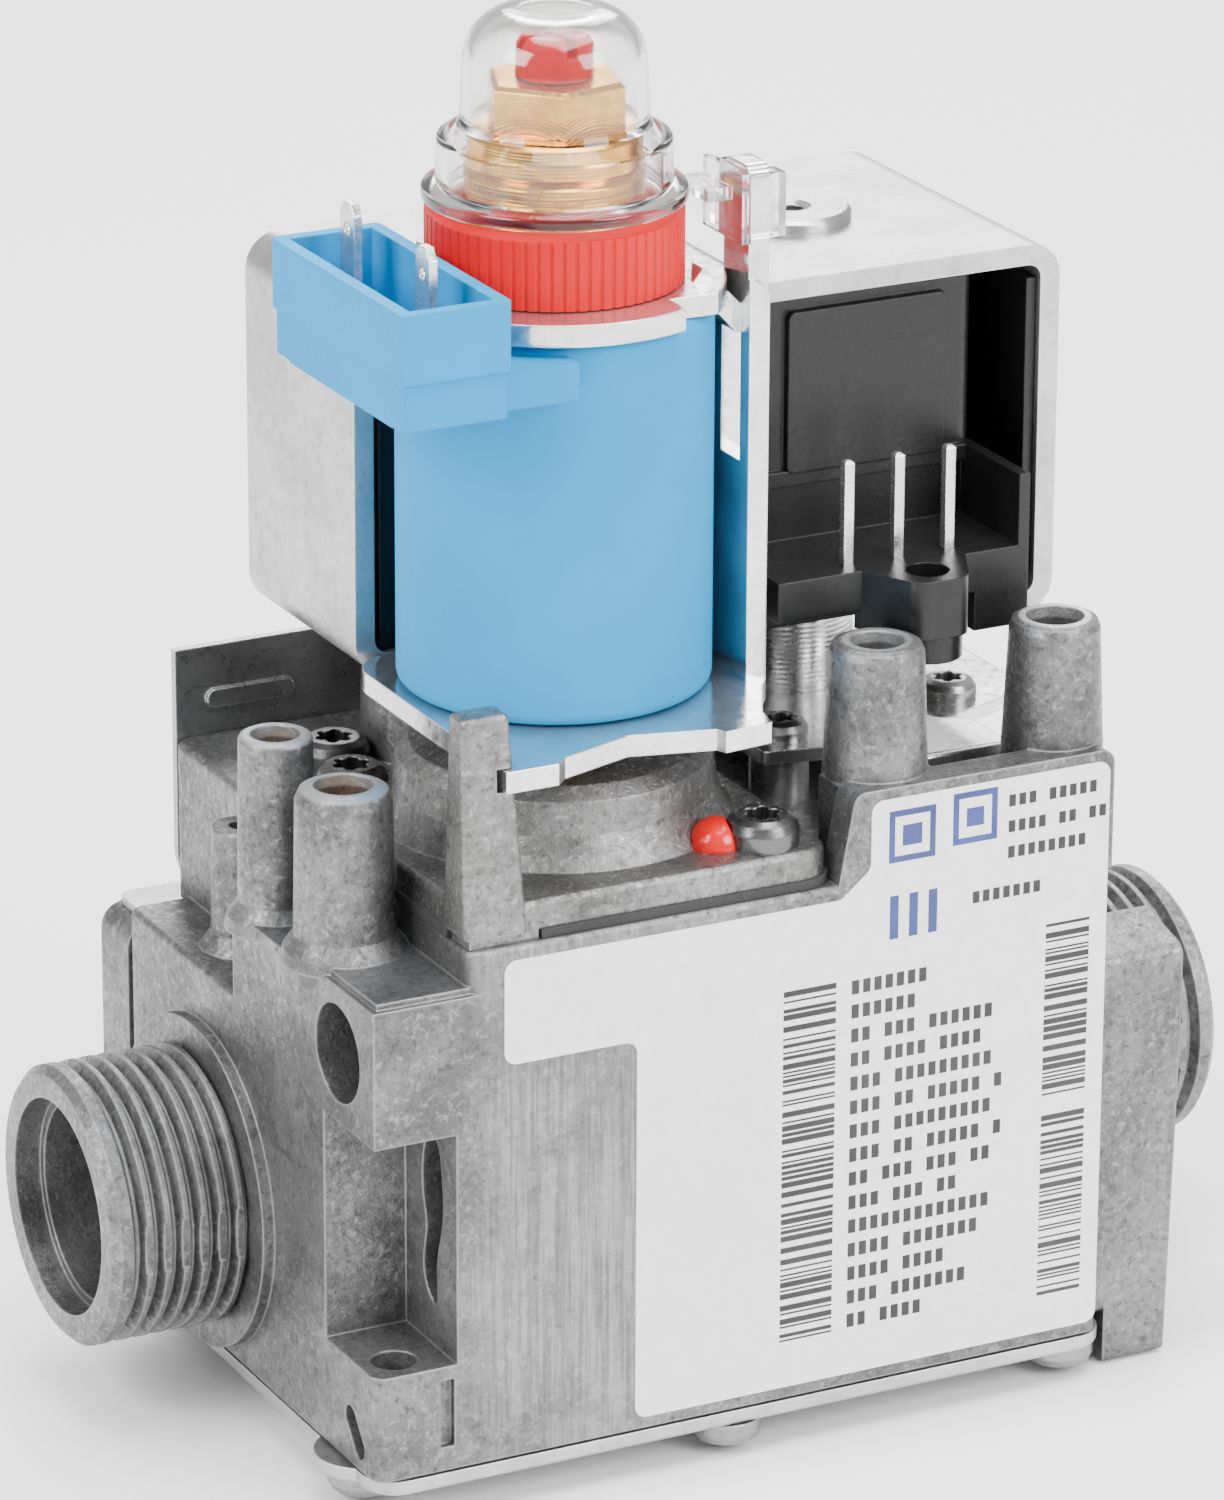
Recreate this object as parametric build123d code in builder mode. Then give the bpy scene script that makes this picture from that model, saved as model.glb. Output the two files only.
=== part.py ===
"""Gas control valve for a heating boiler: cast body, pressure regulator with a modulating coil,
two shut-off solenoids in one moulding, covers, adjusters, connectors and fasteners.

Frame: millimetres, X along the gas flow from inlet to outlet, Y to the rear, Z up.
The origin is the centre of the inlet connection's sealing face, on the flow axis.
"""

import os

from build123d import *

os.makedirs("parts", exist_ok=True)

# ---------------------------------------------------------------- driving dimensions
FIT = 0.02  # radial clearance of a fixed screw, pin or tube in its hole
RUN = 0.05  # radial clearance of a piece that turns or slides

# Pipe connections, G 3/4 external thread
THREAD_R = 13.2
THREAD_PITCH = 1.814
THREAD_DEPTH = 1.1
THREAD_CREST = 0.5
PORT_FACE_R, PORT_FACE_DEPTH = 10.2, 2.6
PORT_R = 9.3
PASSAGE_R = 7.0
OUTLET_X = 116.8

# Cast body
BODY_X0, BODY_X1 = 14.8, 89.7
FRONT_Y, BACK_Y = -37.2, 17.0
BASE_Z = -15.5
PLATFORM_Z = 21.2
DECK_X0, DECK_Y1, DECK_Z = 24.3, 5.2, 34.0
TOWER_X0, TOWER_X1, TOWER_Y0, TOWER_Y1, TOWER_Z = 21.0, 60.0, 3.2, 20.0, 36.0
STEP_Y1, STEP_Z = -20.3, 30.6
WALL_X0, WALL_Z = 62.2, 42.6
LUG_X1, LUG_Y0, LUG_Y1, LUG_TOP_Z, LUG_BACK_Z = 99.4, -34.4, -6.0, 20.5, 11.0
FOOT_X0, FOOT_X1, FOOT_Z, FOOT_DEPTH = 91.9, 98.5, -20.6, 10.6
DRAFT_Z = 12.0
CHAMBER_TOP_Z, SEAT_Z = -9.5, -7.0

# Cast bosses: x, y, radius at the top, bottom z, top z
TAP_IN = (18.5, -9.0, 3.4, 29.0, 46.4)
TAP_OUT = (18.9, -22.6, 4.4, STEP_Z, 46.0)
VENT_BOSS = (20.6, 3.4, 2.8, PLATFORM_Z, 33.0)
BOSS_C = (67.9, -31.4, 4.35, WALL_Z, 54.7)
BOSS_D = (86.4, -31.4, 4.2, WALL_Z, 54.2)
PILOT_Y, PILOT_Z, PILOT_R = -29.7, 23.6, 4.6

# Modulator, on its own upright axis
MX, MY = 42.8, -16.5
COIL_R, COIL_Z0, COIL_Z1 = 14.3, 50.6, 86.1
CORE_R, CORE_BORE_R = 5.6, 4.4
ARMATURE_R = CORE_BORE_R - RUN
YOKE_T, YOKE_Z0, YOKE_Z1 = 2.0, 48.5, 88.2
YOKE_X1, YOKE_Y0, YOKE_Y1 = 59.6, -25.7, -8.5
RING_R, RING_Z0, RING_Z1 = 11.6, 88.3, 95.3
COLLAR_R, COLLAR_Z0, COLLAR_Z1 = 8.1, 95.4, 102.0
HEX_Z1 = 106.6
CAP_Z0, CAP_FLANGE_R, CAP_R, CAP_DOME_R = 95.5, 11.9, 10.5, 8.44
CAP_SHOULDER_Z, CAP_TOP_Z = 102.3, 112.8

# Regulator cover and the rubber under it
COVER_X0, COVER_X1, COVER_Y0, COVER_Y1 = 24.4, 61.3, -36.4, -0.8
RUBBER_T = 0.9
COVER_Z0 = DECK_Z + RUBBER_T
COVER_Z1 = COVER_Z0 + 2.7
DOME_BORE_R = 13.0
DOME_TOP_Z = 46.0

# Shut-off solenoids: axes, frame and moulding
E1X, E1Y = 76.2, 1.4
E2X, E2Y = 42.6, 7.8
FRAME_T = 2.0
FRAME_X0, FRAME_X1 = 28.7, 95.2
FRAME_Y0, FRAME_Y1, FRAME_LEFT_Y0 = -15.8, 19.0, -4.3
FRAME_Z0, FRAME_Z1 = 48.5, 84.5
FRAME_STEP_X = 61.0
HOUSING_Y0, HOUSING_Y1, HOUSING_X1 = -14.2, 16.6, 87.2
TRAY_Y0, TRAY_LUG_Z0, TRAY_FLOOR_Z, TRAY_TOP_Z = -25.0, 53.4, 59.0, 65.8
LUG_HOLE = (75.3, -27.3)

# Screws: pan heads with a six-lobe recess
SCREW_R, HEAD_R, HEAD_H = 1.9, 3.4, 2.8
BOTTOM_SCREWS = [(17.6, -28.6), (19.0, 12.4), (52.0, 13.4), (86.0, 12.0), (88.0, -32.6), (52.0, -33.6)]
BOTTOM_SCREW_DEPTH = 5.6
COVER_SCREWS = [(55.8, -32.4), (57.2, -4.4), (28.2, -4.4)]
TOWER_SCREWS = [(31.9, 7.4), (56.2, 8.6)]
REAR_SCREWS = [(20.0, -7.6), (20.0, 15.4), (82.6, -7.6), (82.6, 15.4)]
GASKET_T, COVER_PLATE_T = 0.5, 1.5


# ---------------------------------------------------------------- helpers
def block(x0, x1, y0, y1, z0, z1, mode=Mode.ADD):
    """A box between two corners, in the current part."""
    with Locations(((x0 + x1) / 2, (y0 + y1) / 2, (z0 + z1) / 2)):
        return Box(x1 - x0, y1 - y0, z1 - z0, mode=mode)


def post(x, y, r, z0, z1, mode=Mode.ADD):
    """An upright cylinder from z0 to z1, in the current part."""
    with Locations((x, y, z0)):
        return Cylinder(r, z1 - z0, align=(Align.CENTER, Align.CENTER, Align.MIN), mode=mode)


def flow_cylinder(r, x0, x1, y=0.0, z=0.0, mode=Mode.ADD):
    """A cylinder along X from x0 to x1, in the current part."""
    with Locations(Location((x0, y, z), (0, 90, 0))):
        return Cylinder(r, x1 - x0, align=(Align.CENTER, Align.CENTER, Align.MIN), mode=mode)


def cross_cylinder(r, y0, y1, x, z, mode=Mode.ADD):
    """A cylinder along Y from y0 to y1, in the current part."""
    with Locations(Location((x, y0, z), (-90, 0, 0))):
        return Cylinder(r, y1 - y0, align=(Align.CENTER, Align.CENTER, Align.MIN), mode=mode)


def turned(x, y, outline, mode=Mode.ADD, rounds=()):
    """A solid of revolution about the upright axis at x, y, from a closed (radius, z) outline.

    rounds lists (radius, z, fillet radius) for the outline's corners that are rounded.
    """
    with BuildSketch(Plane(origin=(x, y, 0), x_dir=(1, 0, 0), z_dir=(0, -1, 0))) as section:
        with BuildLine():
            Polyline(*outline, close=True)
        make_face()
        for corner_r, corner_z, fillet_r in rounds:
            fillet(section.vertices().sort_by_distance((corner_r, corner_z))[0], fillet_r)
    revolve(section.sketch, axis=Axis((x, y, 0), (0, 0, 1)), mode=mode)


def boss(x, y, r, z0, z1, round_r, flare=0.3):
    """A cast boss with draft and a rounded rim."""
    turned(x, y, [
        (0, z0), (r + flare, z0), (r, z1 - round_r), (r - 0.3 * round_r, z1 - 0.3 * round_r),
        (r - round_r, z1), (0, z1),
    ])


def pan_screw(x, y, z_seat, length, up=1, head_r=HEAD_R, head_h=HEAD_H, shank_r=SCREW_R):
    """An upright screw. Its head stands on z_seat, and up is the way the head faces."""
    crown = z_seat + up * head_h
    turned(x, y, [
        (0, z_seat - up * length), (shank_r - 0.4, z_seat - up * length),
        (shank_r, z_seat - up * (length - 0.7)), (shank_r, z_seat), (head_r, z_seat),
        (head_r, z_seat + up * 0.55 * head_h), (head_r - 0.35, z_seat + up * 0.85 * head_h),
        (head_r - 1.0, crown), (0, crown),
    ])
    drive = 0.52 * head_r
    with BuildSketch(Plane.XY.offset(min(crown, crown - up * 1.5))) as recess:
        with Locations((x, y)):
            Circle(drive * 0.78)
            with PolarLocations(drive * 0.74, 6):
                Circle(drive * 0.3)
    extrude(recess.sketch, amount=1.5, mode=Mode.SUBTRACT)


def coil_spring(x, y, r, wire_r, z0, z1, turns):
    """A compression spring: a round wire wound on a helix, in the current part."""
    pitch = (z1 - z0 - 2 * wire_r) / turns
    start = z0 + wire_r
    with BuildLine() as path:
        Helix(pitch=pitch, height=pitch * turns, radius=r, center=(x, y, start))
    with BuildSketch(path.line ^ 0) as wire:
        Circle(wire_r)
    sweep(wire.sketch, path=path.line)


def save(builder, name):
    """Labels a finished piece and writes its STEP."""
    builder.part.label = name
    export_step(builder.part, f"parts/{name}.step")


def thread_outline(length, turns, shoulder_r):
    """Half section of a threaded stub along its axis: lead ring, annular ridges, plain neck, shoulder."""
    root = THREAD_R - THREAD_DEPTH
    flank = (THREAD_PITCH - THREAD_CREST) / 2 - 0.1
    points = [(0, 0), (0, THREAD_R - 0.8), (0.8, THREAD_R), (2.0, THREAD_R), (2.6, root)]
    x = 2.9
    for _ in range(turns):
        points += [(x, root), (x + flank, THREAD_R), (x + flank + THREAD_CREST, THREAD_R)]
        points += [(x + 2 * flank + THREAD_CREST, root)]
        x += THREAD_PITCH
    return points + [(length, root), (length, shoulder_r), (length + 2.0, shoulder_r), (length + 2.0, 0)]


# ---------------------------------------------------------------- valve body casting
with BuildPart() as body:
    # Main mass, with the higher deck at the front right, the tower behind and the step in front
    block(BODY_X0, BODY_X1, FRONT_Y, BACK_Y, BASE_Z, PLATFORM_Z)
    fillet(body.edges().filter_by(Axis.Z), 1.4)
    fillet(body.faces().sort_by(Axis.Z)[-1].edges(), 0.7)
    with BuildSketch(Plane.XY.offset(10.0)):
        with Locations(((DECK_X0 + BODY_X1) / 2, (FRONT_Y + DECK_Y1) / 2)):
            RectangleRounded(BODY_X1 - DECK_X0, DECK_Y1 - FRONT_Y, 1.4)
    extrude(amount=DECK_Z - 10.0)
    fillet(body.faces().sort_by(Axis.Z)[-1].edges(), 0.6)
    with BuildSketch(Plane.XY.offset(PLATFORM_Z - 0.7)):
        with Locations(((TOWER_X0 + TOWER_X1) / 2, (TOWER_Y0 + TOWER_Y1) / 2)):
            RectangleRounded(TOWER_X1 - TOWER_X0, TOWER_Y1 - TOWER_Y0, 1.8)
    extrude(amount=TOWER_Z - PLATFORM_Z + 0.7)
    fillet(body.faces().sort_by(Axis.Z)[-1].edges(), 0.7)
    block(BODY_X0 + 0.6, DECK_X0 + 2.0, FRONT_Y + 0.6, STEP_Y1, 20.0, STEP_Z)
    block(BODY_X0, DECK_X0 + 2.0, FRONT_Y, STEP_Y1, 10.0, STEP_Z - 0.6)
    block(BODY_X0, DECK_X0 + 2.0, STEP_Y1 - 1.0, -7.2, 18.0, STEP_Z - 1.2)
    # Raised front wall that carries the two tall bosses
    with BuildSketch(Plane.XZ.offset(-FRONT_Y)) as wall_face:
        with BuildLine():
            Polyline(
                (WALL_X0 - 1.6, DECK_Z - 3.0), (WALL_X0 + 0.6, WALL_Z), (BODY_X1, WALL_Z),
                (BODY_X1, DECK_Z - 3.0), close=True,
            )
        make_face()
        fillet(wall_face.vertices().sort_by(Axis.Z)[-2:], 1.3)
    extrude(amount=-3.4)
    for x, y, r, z0, z1 in (BOSS_C, BOSS_D):
        post(x, y, r + 0.5, DECK_Z - 2.0, WALL_Z - 0.3)
        boss(x, y, r, WALL_Z - 0.8, z1, 0.9, 0.5)
    block(WALL_X0 + 0.8, BOSS_C[0] + 5.2, FRONT_Y + 1.2, BOSS_C[1] + 1.6, DECK_Z - 2.0, WALL_Z - 0.5)
    # Pressure taps and the small vent boss
    for (x, y, r, z0, z1), round_r in ((TAP_IN, 0.5), (TAP_OUT, 1.3), (VENT_BOSS, 0.3)):
        boss(x, y, r, z0 - 3.0, z1, round_r)
        turned(x, y, [
            (0, z0 - 1), (r + 1.5, z0 - 1), (r + 1.2, z0 + 0.2), (r + 0.2, z0 + 1.6), (0, z0 + 1.6),
        ])
    # Bases of the two solenoids: one behind the deck, one on the tower
    post(E1X, E1Y, 10.8, PLATFORM_Z - 1.0, DECK_Z)
    boss(E2X, E2Y, 6.9, TOWER_Z - 1.0, 46.0, 0.8, 0.3)
    # Outlet lug that doubles as a foot
    with BuildSketch(Plane.YZ.offset(BODY_X1 - 1.0)) as lug_face:
        with BuildLine():
            Polyline(
                (LUG_Y0, BASE_Z), (LUG_Y0, LUG_TOP_Z), (LUG_Y0 + 7.4, LUG_TOP_Z + 1.9),
                (LUG_Y0 + 11.4, LUG_BACK_Z), (LUG_Y1, LUG_BACK_Z), (LUG_Y1, BASE_Z), close=True,
            )
        make_face()
        fillet(lug_face.vertices(), 1.2)
    extrude(amount=LUG_X1 - BODY_X1 + 1.0)
    with BuildSketch(Plane.XZ.offset(-LUG_Y0)):
        with BuildLine():
            Polyline(
                (FOOT_X0, FOOT_Z), (FOOT_X1, FOOT_Z), (LUG_X1, DRAFT_Z), (FOOT_X0, DRAFT_Z), close=True,
            )
        make_face()
    extrude(amount=-FOOT_DEPTH)
    with BuildSketch(Plane.XZ.offset(-LUG_Y0 + 1.0)):
        with BuildLine():
            Polyline(
                (FOOT_X1, FOOT_Z), (LUG_X1, DRAFT_Z), (LUG_X1 + 3.0, DRAFT_Z), (LUG_X1 + 3.0, FOOT_Z),
                close=True,
            )
        make_face()
    extrude(amount=LUG_Y0 - LUG_Y1 - 2.0, mode=Mode.SUBTRACT)
    fillet(body.faces().sort_by(Axis.Z)[0].edges(), 0.7)
    # Threaded stubs, each with a round seat at its root
    inlet_section = thread_outline(BODY_X0 - 1.2, 6, THREAD_R + 2.6)
    outlet_length = OUTLET_X - BODY_X1 - 1.2
    outlet_section = [(OUTLET_X - px, pr) for px, pr in thread_outline(outlet_length, 11, THREAD_R - 0.3)]
    for section in (inlet_section, outlet_section):
        with BuildSketch(Plane.XZ):
            with BuildLine():
                Polyline(*section, close=True)
            make_face()
        revolve(axis=Axis.X)
    # Flats where the mould halves meet, on both sides of each stub
    for x0, x1 in ((3.0, BODY_X0 - 1.4), (LUG_X1 + 1.4, OUTLET_X - 3.0)):
        for y0, y1 in ((-16.0, 0.4 - THREAD_R), (THREAD_R - 0.4, 16.0)):
            block(x0, x1, y0, y1, -2.4, 2.4, mode=Mode.SUBTRACT)
    # Ports and inner passages: inlet, shut-off chamber, lower chamber, regulator, gallery, outlet
    flow_cylinder(PORT_FACE_R, 0.0, PORT_FACE_DEPTH, mode=Mode.SUBTRACT)
    flow_cylinder(PORT_R, 0.0, 21.0, mode=Mode.SUBTRACT)
    flow_cylinder(PASSAGE_R, 20.0, E1X, mode=Mode.SUBTRACT)
    flow_cylinder(PORT_FACE_R, OUTLET_X - PORT_FACE_DEPTH, OUTLET_X, mode=Mode.SUBTRACT)
    flow_cylinder(PORT_R, 98.0, OUTLET_X, mode=Mode.SUBTRACT)
    flow_cylinder(PASSAGE_R, 90.0, 99.0, mode=Mode.SUBTRACT)
    post(E1X, E1Y, 7.5, SEAT_Z, DECK_Z, mode=Mode.SUBTRACT)
    post(E1X, E1Y, 5.0, CHAMBER_TOP_Z, SEAT_Z, mode=Mode.SUBTRACT)
    post(MX, MY, 8.4, SEAT_Z, 25.0, mode=Mode.SUBTRACT)
    post(MX, MY, DOME_BORE_R, 24.0, DECK_Z, mode=Mode.SUBTRACT)
    post(MX, MY, 4.5, CHAMBER_TOP_Z, SEAT_Z, mode=Mode.SUBTRACT)
    with BuildSketch(Plane.XY.offset(BASE_Z)):
        with Locations((58.0, -11.0)):
            RectangleRounded(58.0, 37.0, 4.0)
    extrude(amount=CHAMBER_TOP_Z - BASE_Z, mode=Mode.SUBTRACT)
    flow_cylinder(4.5, MX, 92.0, y=-25.0, z=4.0, mode=Mode.SUBTRACT)
    cross_cylinder(4.5, -25.0, 0.0, x=92.0, z=4.0, mode=Mode.SUBTRACT)
    post(E2X, E2Y, 4.2, 12.0, 46.0, mode=Mode.SUBTRACT)
    post(E2X, E2Y, 1.3, -1.0, 12.0, mode=Mode.SUBTRACT)
    cross_cylinder(1.0, MY + 10.0, E2Y, x=MX, z=28.0, mode=Mode.SUBTRACT)
    # Pressure tap bores and their links to the inlet and to the regulator
    post(TAP_IN[0], TAP_IN[1], 1.1, 0.0, TAP_IN[4], mode=Mode.SUBTRACT)
    post(TAP_IN[0], TAP_IN[1], 2.3, 34.0, TAP_IN[4], mode=Mode.SUBTRACT)
    post(TAP_OUT[0], TAP_OUT[1], 1.1, 18.0, TAP_OUT[4], mode=Mode.SUBTRACT)
    post(TAP_OUT[0], TAP_OUT[1], 2.7, 34.0, TAP_OUT[4], mode=Mode.SUBTRACT)
    flow_cylinder(1.1, TAP_OUT[0], MX - 6.0, y=-19.0, z=19.0, mode=Mode.SUBTRACT)
    cross_cylinder(1.1, TAP_OUT[1], -19.0, x=TAP_OUT[0], z=19.0, mode=Mode.SUBTRACT)
    post(VENT_BOSS[0], VENT_BOSS[1], 1.2, 14.0, VENT_BOSS[4], mode=Mode.SUBTRACT)
    # Tapped holes in the tall bosses and the pilot port in the side
    post(BOSS_C[0], BOSS_C[1], 2.5, BOSS_C[4] - 14.0, BOSS_C[4], mode=Mode.SUBTRACT)
    post(BOSS_D[0], BOSS_D[1], 2.7, BOSS_D[4] - 14.0, BOSS_D[4], mode=Mode.SUBTRACT)
    flow_cylinder(PILOT_R, BODY_X0, BODY_X0 + 13.0, y=PILOT_Y, z=PILOT_Z, mode=Mode.SUBTRACT)
    # Open corner below the pilot port, with the core opening in its inner wall
    block(BODY_X0 - 1, 22.9, FRONT_Y - 1, -26.6, -5.3, 17.0, mode=Mode.SUBTRACT)
    with BuildSketch(Plane.YZ.offset(22.0)):
        with BuildLine():
            Spline(
                (-31.4, 15.2), (-30.2, 12.4), (-30.3, 8.4), (-30.9, 6.0), (-30.4, 3.4), (-31.4, -0.6),
                (-32.6, -1.2), (-33.0, 2.0), (-33.4, 4.6), (-34.3, 8.0), (-34.0, 12.2), (-32.8, 15.0),
                periodic=True,
            )
        make_face()
    extrude(amount=5.0, mode=Mode.SUBTRACT)
    with BuildSketch(Plane.YZ.offset(BODY_X0 - 1.0)):
        with Locations(Location((-32.7, -12.2, 0), (0, 0, 52))):
            SlotOverall(5.2, 2.3)
    extrude(amount=4.0, mode=Mode.SUBTRACT)
    post(18.2, -33.8, 2.1, -10.5, -5.0, mode=Mode.SUBTRACT)
    block(21.2, 22.6, FRONT_Y - 1, FRONT_Y + 0.8, -13.2, -6.6, mode=Mode.SUBTRACT)
    # Screw holes
    for x, y in BOTTOM_SCREWS:
        post(x, y, SCREW_R + FIT, BASE_Z, BASE_Z + BOTTOM_SCREW_DEPTH, mode=Mode.SUBTRACT)
    for x, y in COVER_SCREWS:
        post(x, y, SCREW_R + FIT, DECK_Z - 8.0, DECK_Z, mode=Mode.SUBTRACT)
    for x, y in TOWER_SCREWS:
        post(x, y, SCREW_R + FIT, TOWER_Z - 10.0, TOWER_Z, mode=Mode.SUBTRACT)
    for x, z in REAR_SCREWS:
        cross_cylinder(SCREW_R + FIT, BACK_Y - 8.0, BACK_Y, x, z, mode=Mode.SUBTRACT)
save(body, "valve_body")
print("body", round(body.part.volume), "solids", len(body.part.solids()))


# ---------------------------------------------------------------- bottom and rear covers
COVER_EDGE_X = FOOT_X0 - 0.5
with BuildPart() as bottom_gasket:
    with BuildSketch(Plane.XY.offset(BASE_Z - GASKET_T)):
        with Locations(((BODY_X0 + COVER_EDGE_X) / 2, (FRONT_Y + BACK_Y) / 2)):
            RectangleRounded(COVER_EDGE_X - BODY_X0 - 1.0, BACK_Y - FRONT_Y - 1.6, 3.0)
        with Locations((58.0, -11.0)):
            RectangleRounded(56.0, 35.0, 4.0, mode=Mode.SUBTRACT)
        with Locations(*BOTTOM_SCREWS):
            Circle(SCREW_R + 0.1, mode=Mode.SUBTRACT)
    extrude(amount=GASKET_T)
save(bottom_gasket, "bottom_gasket")

PLATE_Z0 = BASE_Z - GASKET_T - COVER_PLATE_T
with BuildPart() as bottom_cover:
    with BuildSketch(Plane.XY.offset(PLATE_Z0)):
        with Locations(((BODY_X0 + COVER_EDGE_X) / 2, (FRONT_Y + BACK_Y) / 2)):
            RectangleRounded(COVER_EDGE_X - BODY_X0 - 0.4, BACK_Y - FRONT_Y - 0.8, 3.4)
        with Locations(BOTTOM_SCREWS[0]):
            Circle(HEAD_R + 1.2)
        with Locations(*BOTTOM_SCREWS):
            Circle(SCREW_R + 0.2, mode=Mode.SUBTRACT)
    extrude(amount=COVER_PLATE_T)
    fillet(bottom_cover.faces().sort_by(Axis.Z)[0].outer_wire().edges(), 0.5)
save(bottom_cover, "bottom_cover")

with BuildPart() as bottom_cover_screws:
    for x, y in BOTTOM_SCREWS:
        pan_screw(x, y, PLATE_Z0, 7.0, up=-1, head_h=2.4)
save(bottom_cover_screws, "bottom_cover_screws")

REAR_COVER_Y1, REAR_COVER_Z1 = 24.0, 19.2
with BuildPart() as rear_cover:
    with BuildSketch(Plane.XZ.offset(-BACK_Y)):
        with Locations(((BODY_X0 + 88.0) / 2, (REAR_COVER_Z1 - 12.0) / 2)):
            RectangleRounded(88.0 - BODY_X0, REAR_COVER_Z1 + 12.0, 2.4)
        with Locations(*REAR_SCREWS):
            Circle(SCREW_R + 0.2, mode=Mode.SUBTRACT)
    extrude(amount=-(REAR_COVER_Y1 - BACK_Y))
    fillet(rear_cover.faces().sort_by(Axis.Y)[-1].outer_wire().edges(), 0.9)
    with BuildSketch(Plane.XZ.offset(-REAR_COVER_Y1)):
        with Locations((51.0, 3.6)):
            RectangleRounded(46.0, 19.0, 3.0)
    extrude(amount=-1.6)
    fillet(rear_cover.faces().sort_by(Axis.Y)[-1].edges(), 0.7)
save(rear_cover, "rear_cover")

with BuildPart() as rear_cover_screws:
    for x, z in REAR_SCREWS:
        cross_cylinder(SCREW_R, BACK_Y - 7.5, REAR_COVER_Y1, x, z)
        cross_cylinder(HEAD_R, REAR_COVER_Y1, REAR_COVER_Y1 + 2.4, x, z)
        with BuildSketch(Plane.XZ.offset(-(REAR_COVER_Y1 + 2.4))):
            with Locations((x, z)):
                RegularPolygon(1.7, 6)
        extrude(amount=1.4, mode=Mode.SUBTRACT)
    chamfer(rear_cover_screws.faces().sort_by(Axis.Y)[-4:].edges().filter_by(GeomType.CIRCLE), 0.5)
save(rear_cover_screws, "rear_cover_screws")

# Sheet-steel shield that stands behind the taps, with a foot over the rear cover
SHIELD_T, SHIELD_Z1 = 0.8, 44.6
with BuildPart() as heat_shield:
    with BuildSketch(Plane.XZ.offset(-TOWER_Y1)) as shield_face:
        with Locations((41.0, (REAR_COVER_Z1 + SHIELD_Z1) / 2)):
            Rectangle(39.2, SHIELD_Z1 - REAR_COVER_Z1)
        fillet(shield_face.vertices().sort_by(Axis.Z)[-2:], 5.5)
    extrude(amount=-SHIELD_T)
    with BuildSketch(Plane.XY.offset(REAR_COVER_Z1)):
        with Locations(((16.6 + 60.6) / 2, (BACK_Y + 0.2 + REAR_COVER_Y1 - 0.5) / 2)):
            RectangleRounded(60.6 - 16.6, REAR_COVER_Y1 - BACK_Y - 0.7, 1.5)
    extrude(amount=SHIELD_T)
    with BuildSketch(Plane.XZ.offset(-TOWER_Y1)):
        with Locations((29.0, 39.4)):
            SlotOverall(9.0, 1.8)
    extrude(amount=0.5)
save(heat_shield, "heat_shield")

# ---------------------------------------------------------------- inlet strainer and taps
with BuildPart() as inlet_strainer:
    flow_cylinder(PORT_R - FIT, 15.0, 16.2)
    with Locations(Location((15.0, 0, 0), (0, 90, 0))):
        with GridLocations(2.3, 2.3, 7, 7):
            Box(1.7, 1.7, 3.0, mode=Mode.SUBTRACT)
    with BuildSketch(Plane.YZ.offset(14.2)):
        Circle(PORT_R - FIT)
        Circle(PORT_R - 1.0, mode=Mode.SUBTRACT)
    extrude(amount=2.0)
save(inlet_strainer, "inlet_strainer")

for tap, bore_r, name in ((TAP_IN, 2.3, "inlet_test_screw"), (TAP_OUT, 2.7, "outlet_test_screw")):
    with BuildPart() as test_screw:
        tap_x, tap_y, _, _, tap_z1 = tap
        turned(tap_x, tap_y, [
            (0, 34.5), (0.9, 35.5), (bore_r - RUN, 36.5), (bore_r - RUN, tap_z1 - 3.0),
            (bore_r - 0.4, tap_z1 - 2.6), (0, tap_z1 - 2.6),
        ])
        slot_z0, slot_z1 = tap_z1 - 3.8, tap_z1 - 2.5
        block(tap_x - 1.6, tap_x + 1.6, tap_y - 0.35, tap_y + 0.35, slot_z0, slot_z1, mode=Mode.SUBTRACT)
    save(test_screw, name)

# ---------------------------------------------------------------- regulator cover
DOME_OUTLINE = [
    (CORE_R + FIT, 44.0), (CORE_R + FIT, DOME_TOP_Z), (8.8, DOME_TOP_Z), (13.3, 44.8), (14.5, 43.6),
    (14.9, 40.6), (15.5, 38.9), (16.4, COVER_Z1), (DOME_BORE_R, COVER_Z1),
    (DOME_BORE_R, 41.6), (12.0, 42.8),
]


def cover_plan(grow):
    """Outline of the regulator cover's flange in the current sketch."""
    with Locations(((COVER_X0 + COVER_X1) / 2, (COVER_Y0 + COVER_Y1) / 2)):
        RectangleRounded(COVER_X1 - COVER_X0 + 2 * grow, COVER_Y1 - COVER_Y0 + 2 * grow, 3.2)


with BuildPart() as diaphragm:
    with BuildSketch(Plane.XY.offset(DECK_Z)):
        cover_plan(0.25)
        with Locations(*COVER_SCREWS):
            Circle(SCREW_R + 0.3, mode=Mode.SUBTRACT)
        with Locations((MX, MY)):
            Circle(3.0, mode=Mode.SUBTRACT)
    extrude(amount=RUBBER_T)
    block(20.0, 31.6, -38.0, -32.6, DECK_Z - 0.1, COVER_Z0 + 0.1, mode=Mode.SUBTRACT)
save(diaphragm, "regulator_diaphragm")

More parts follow.
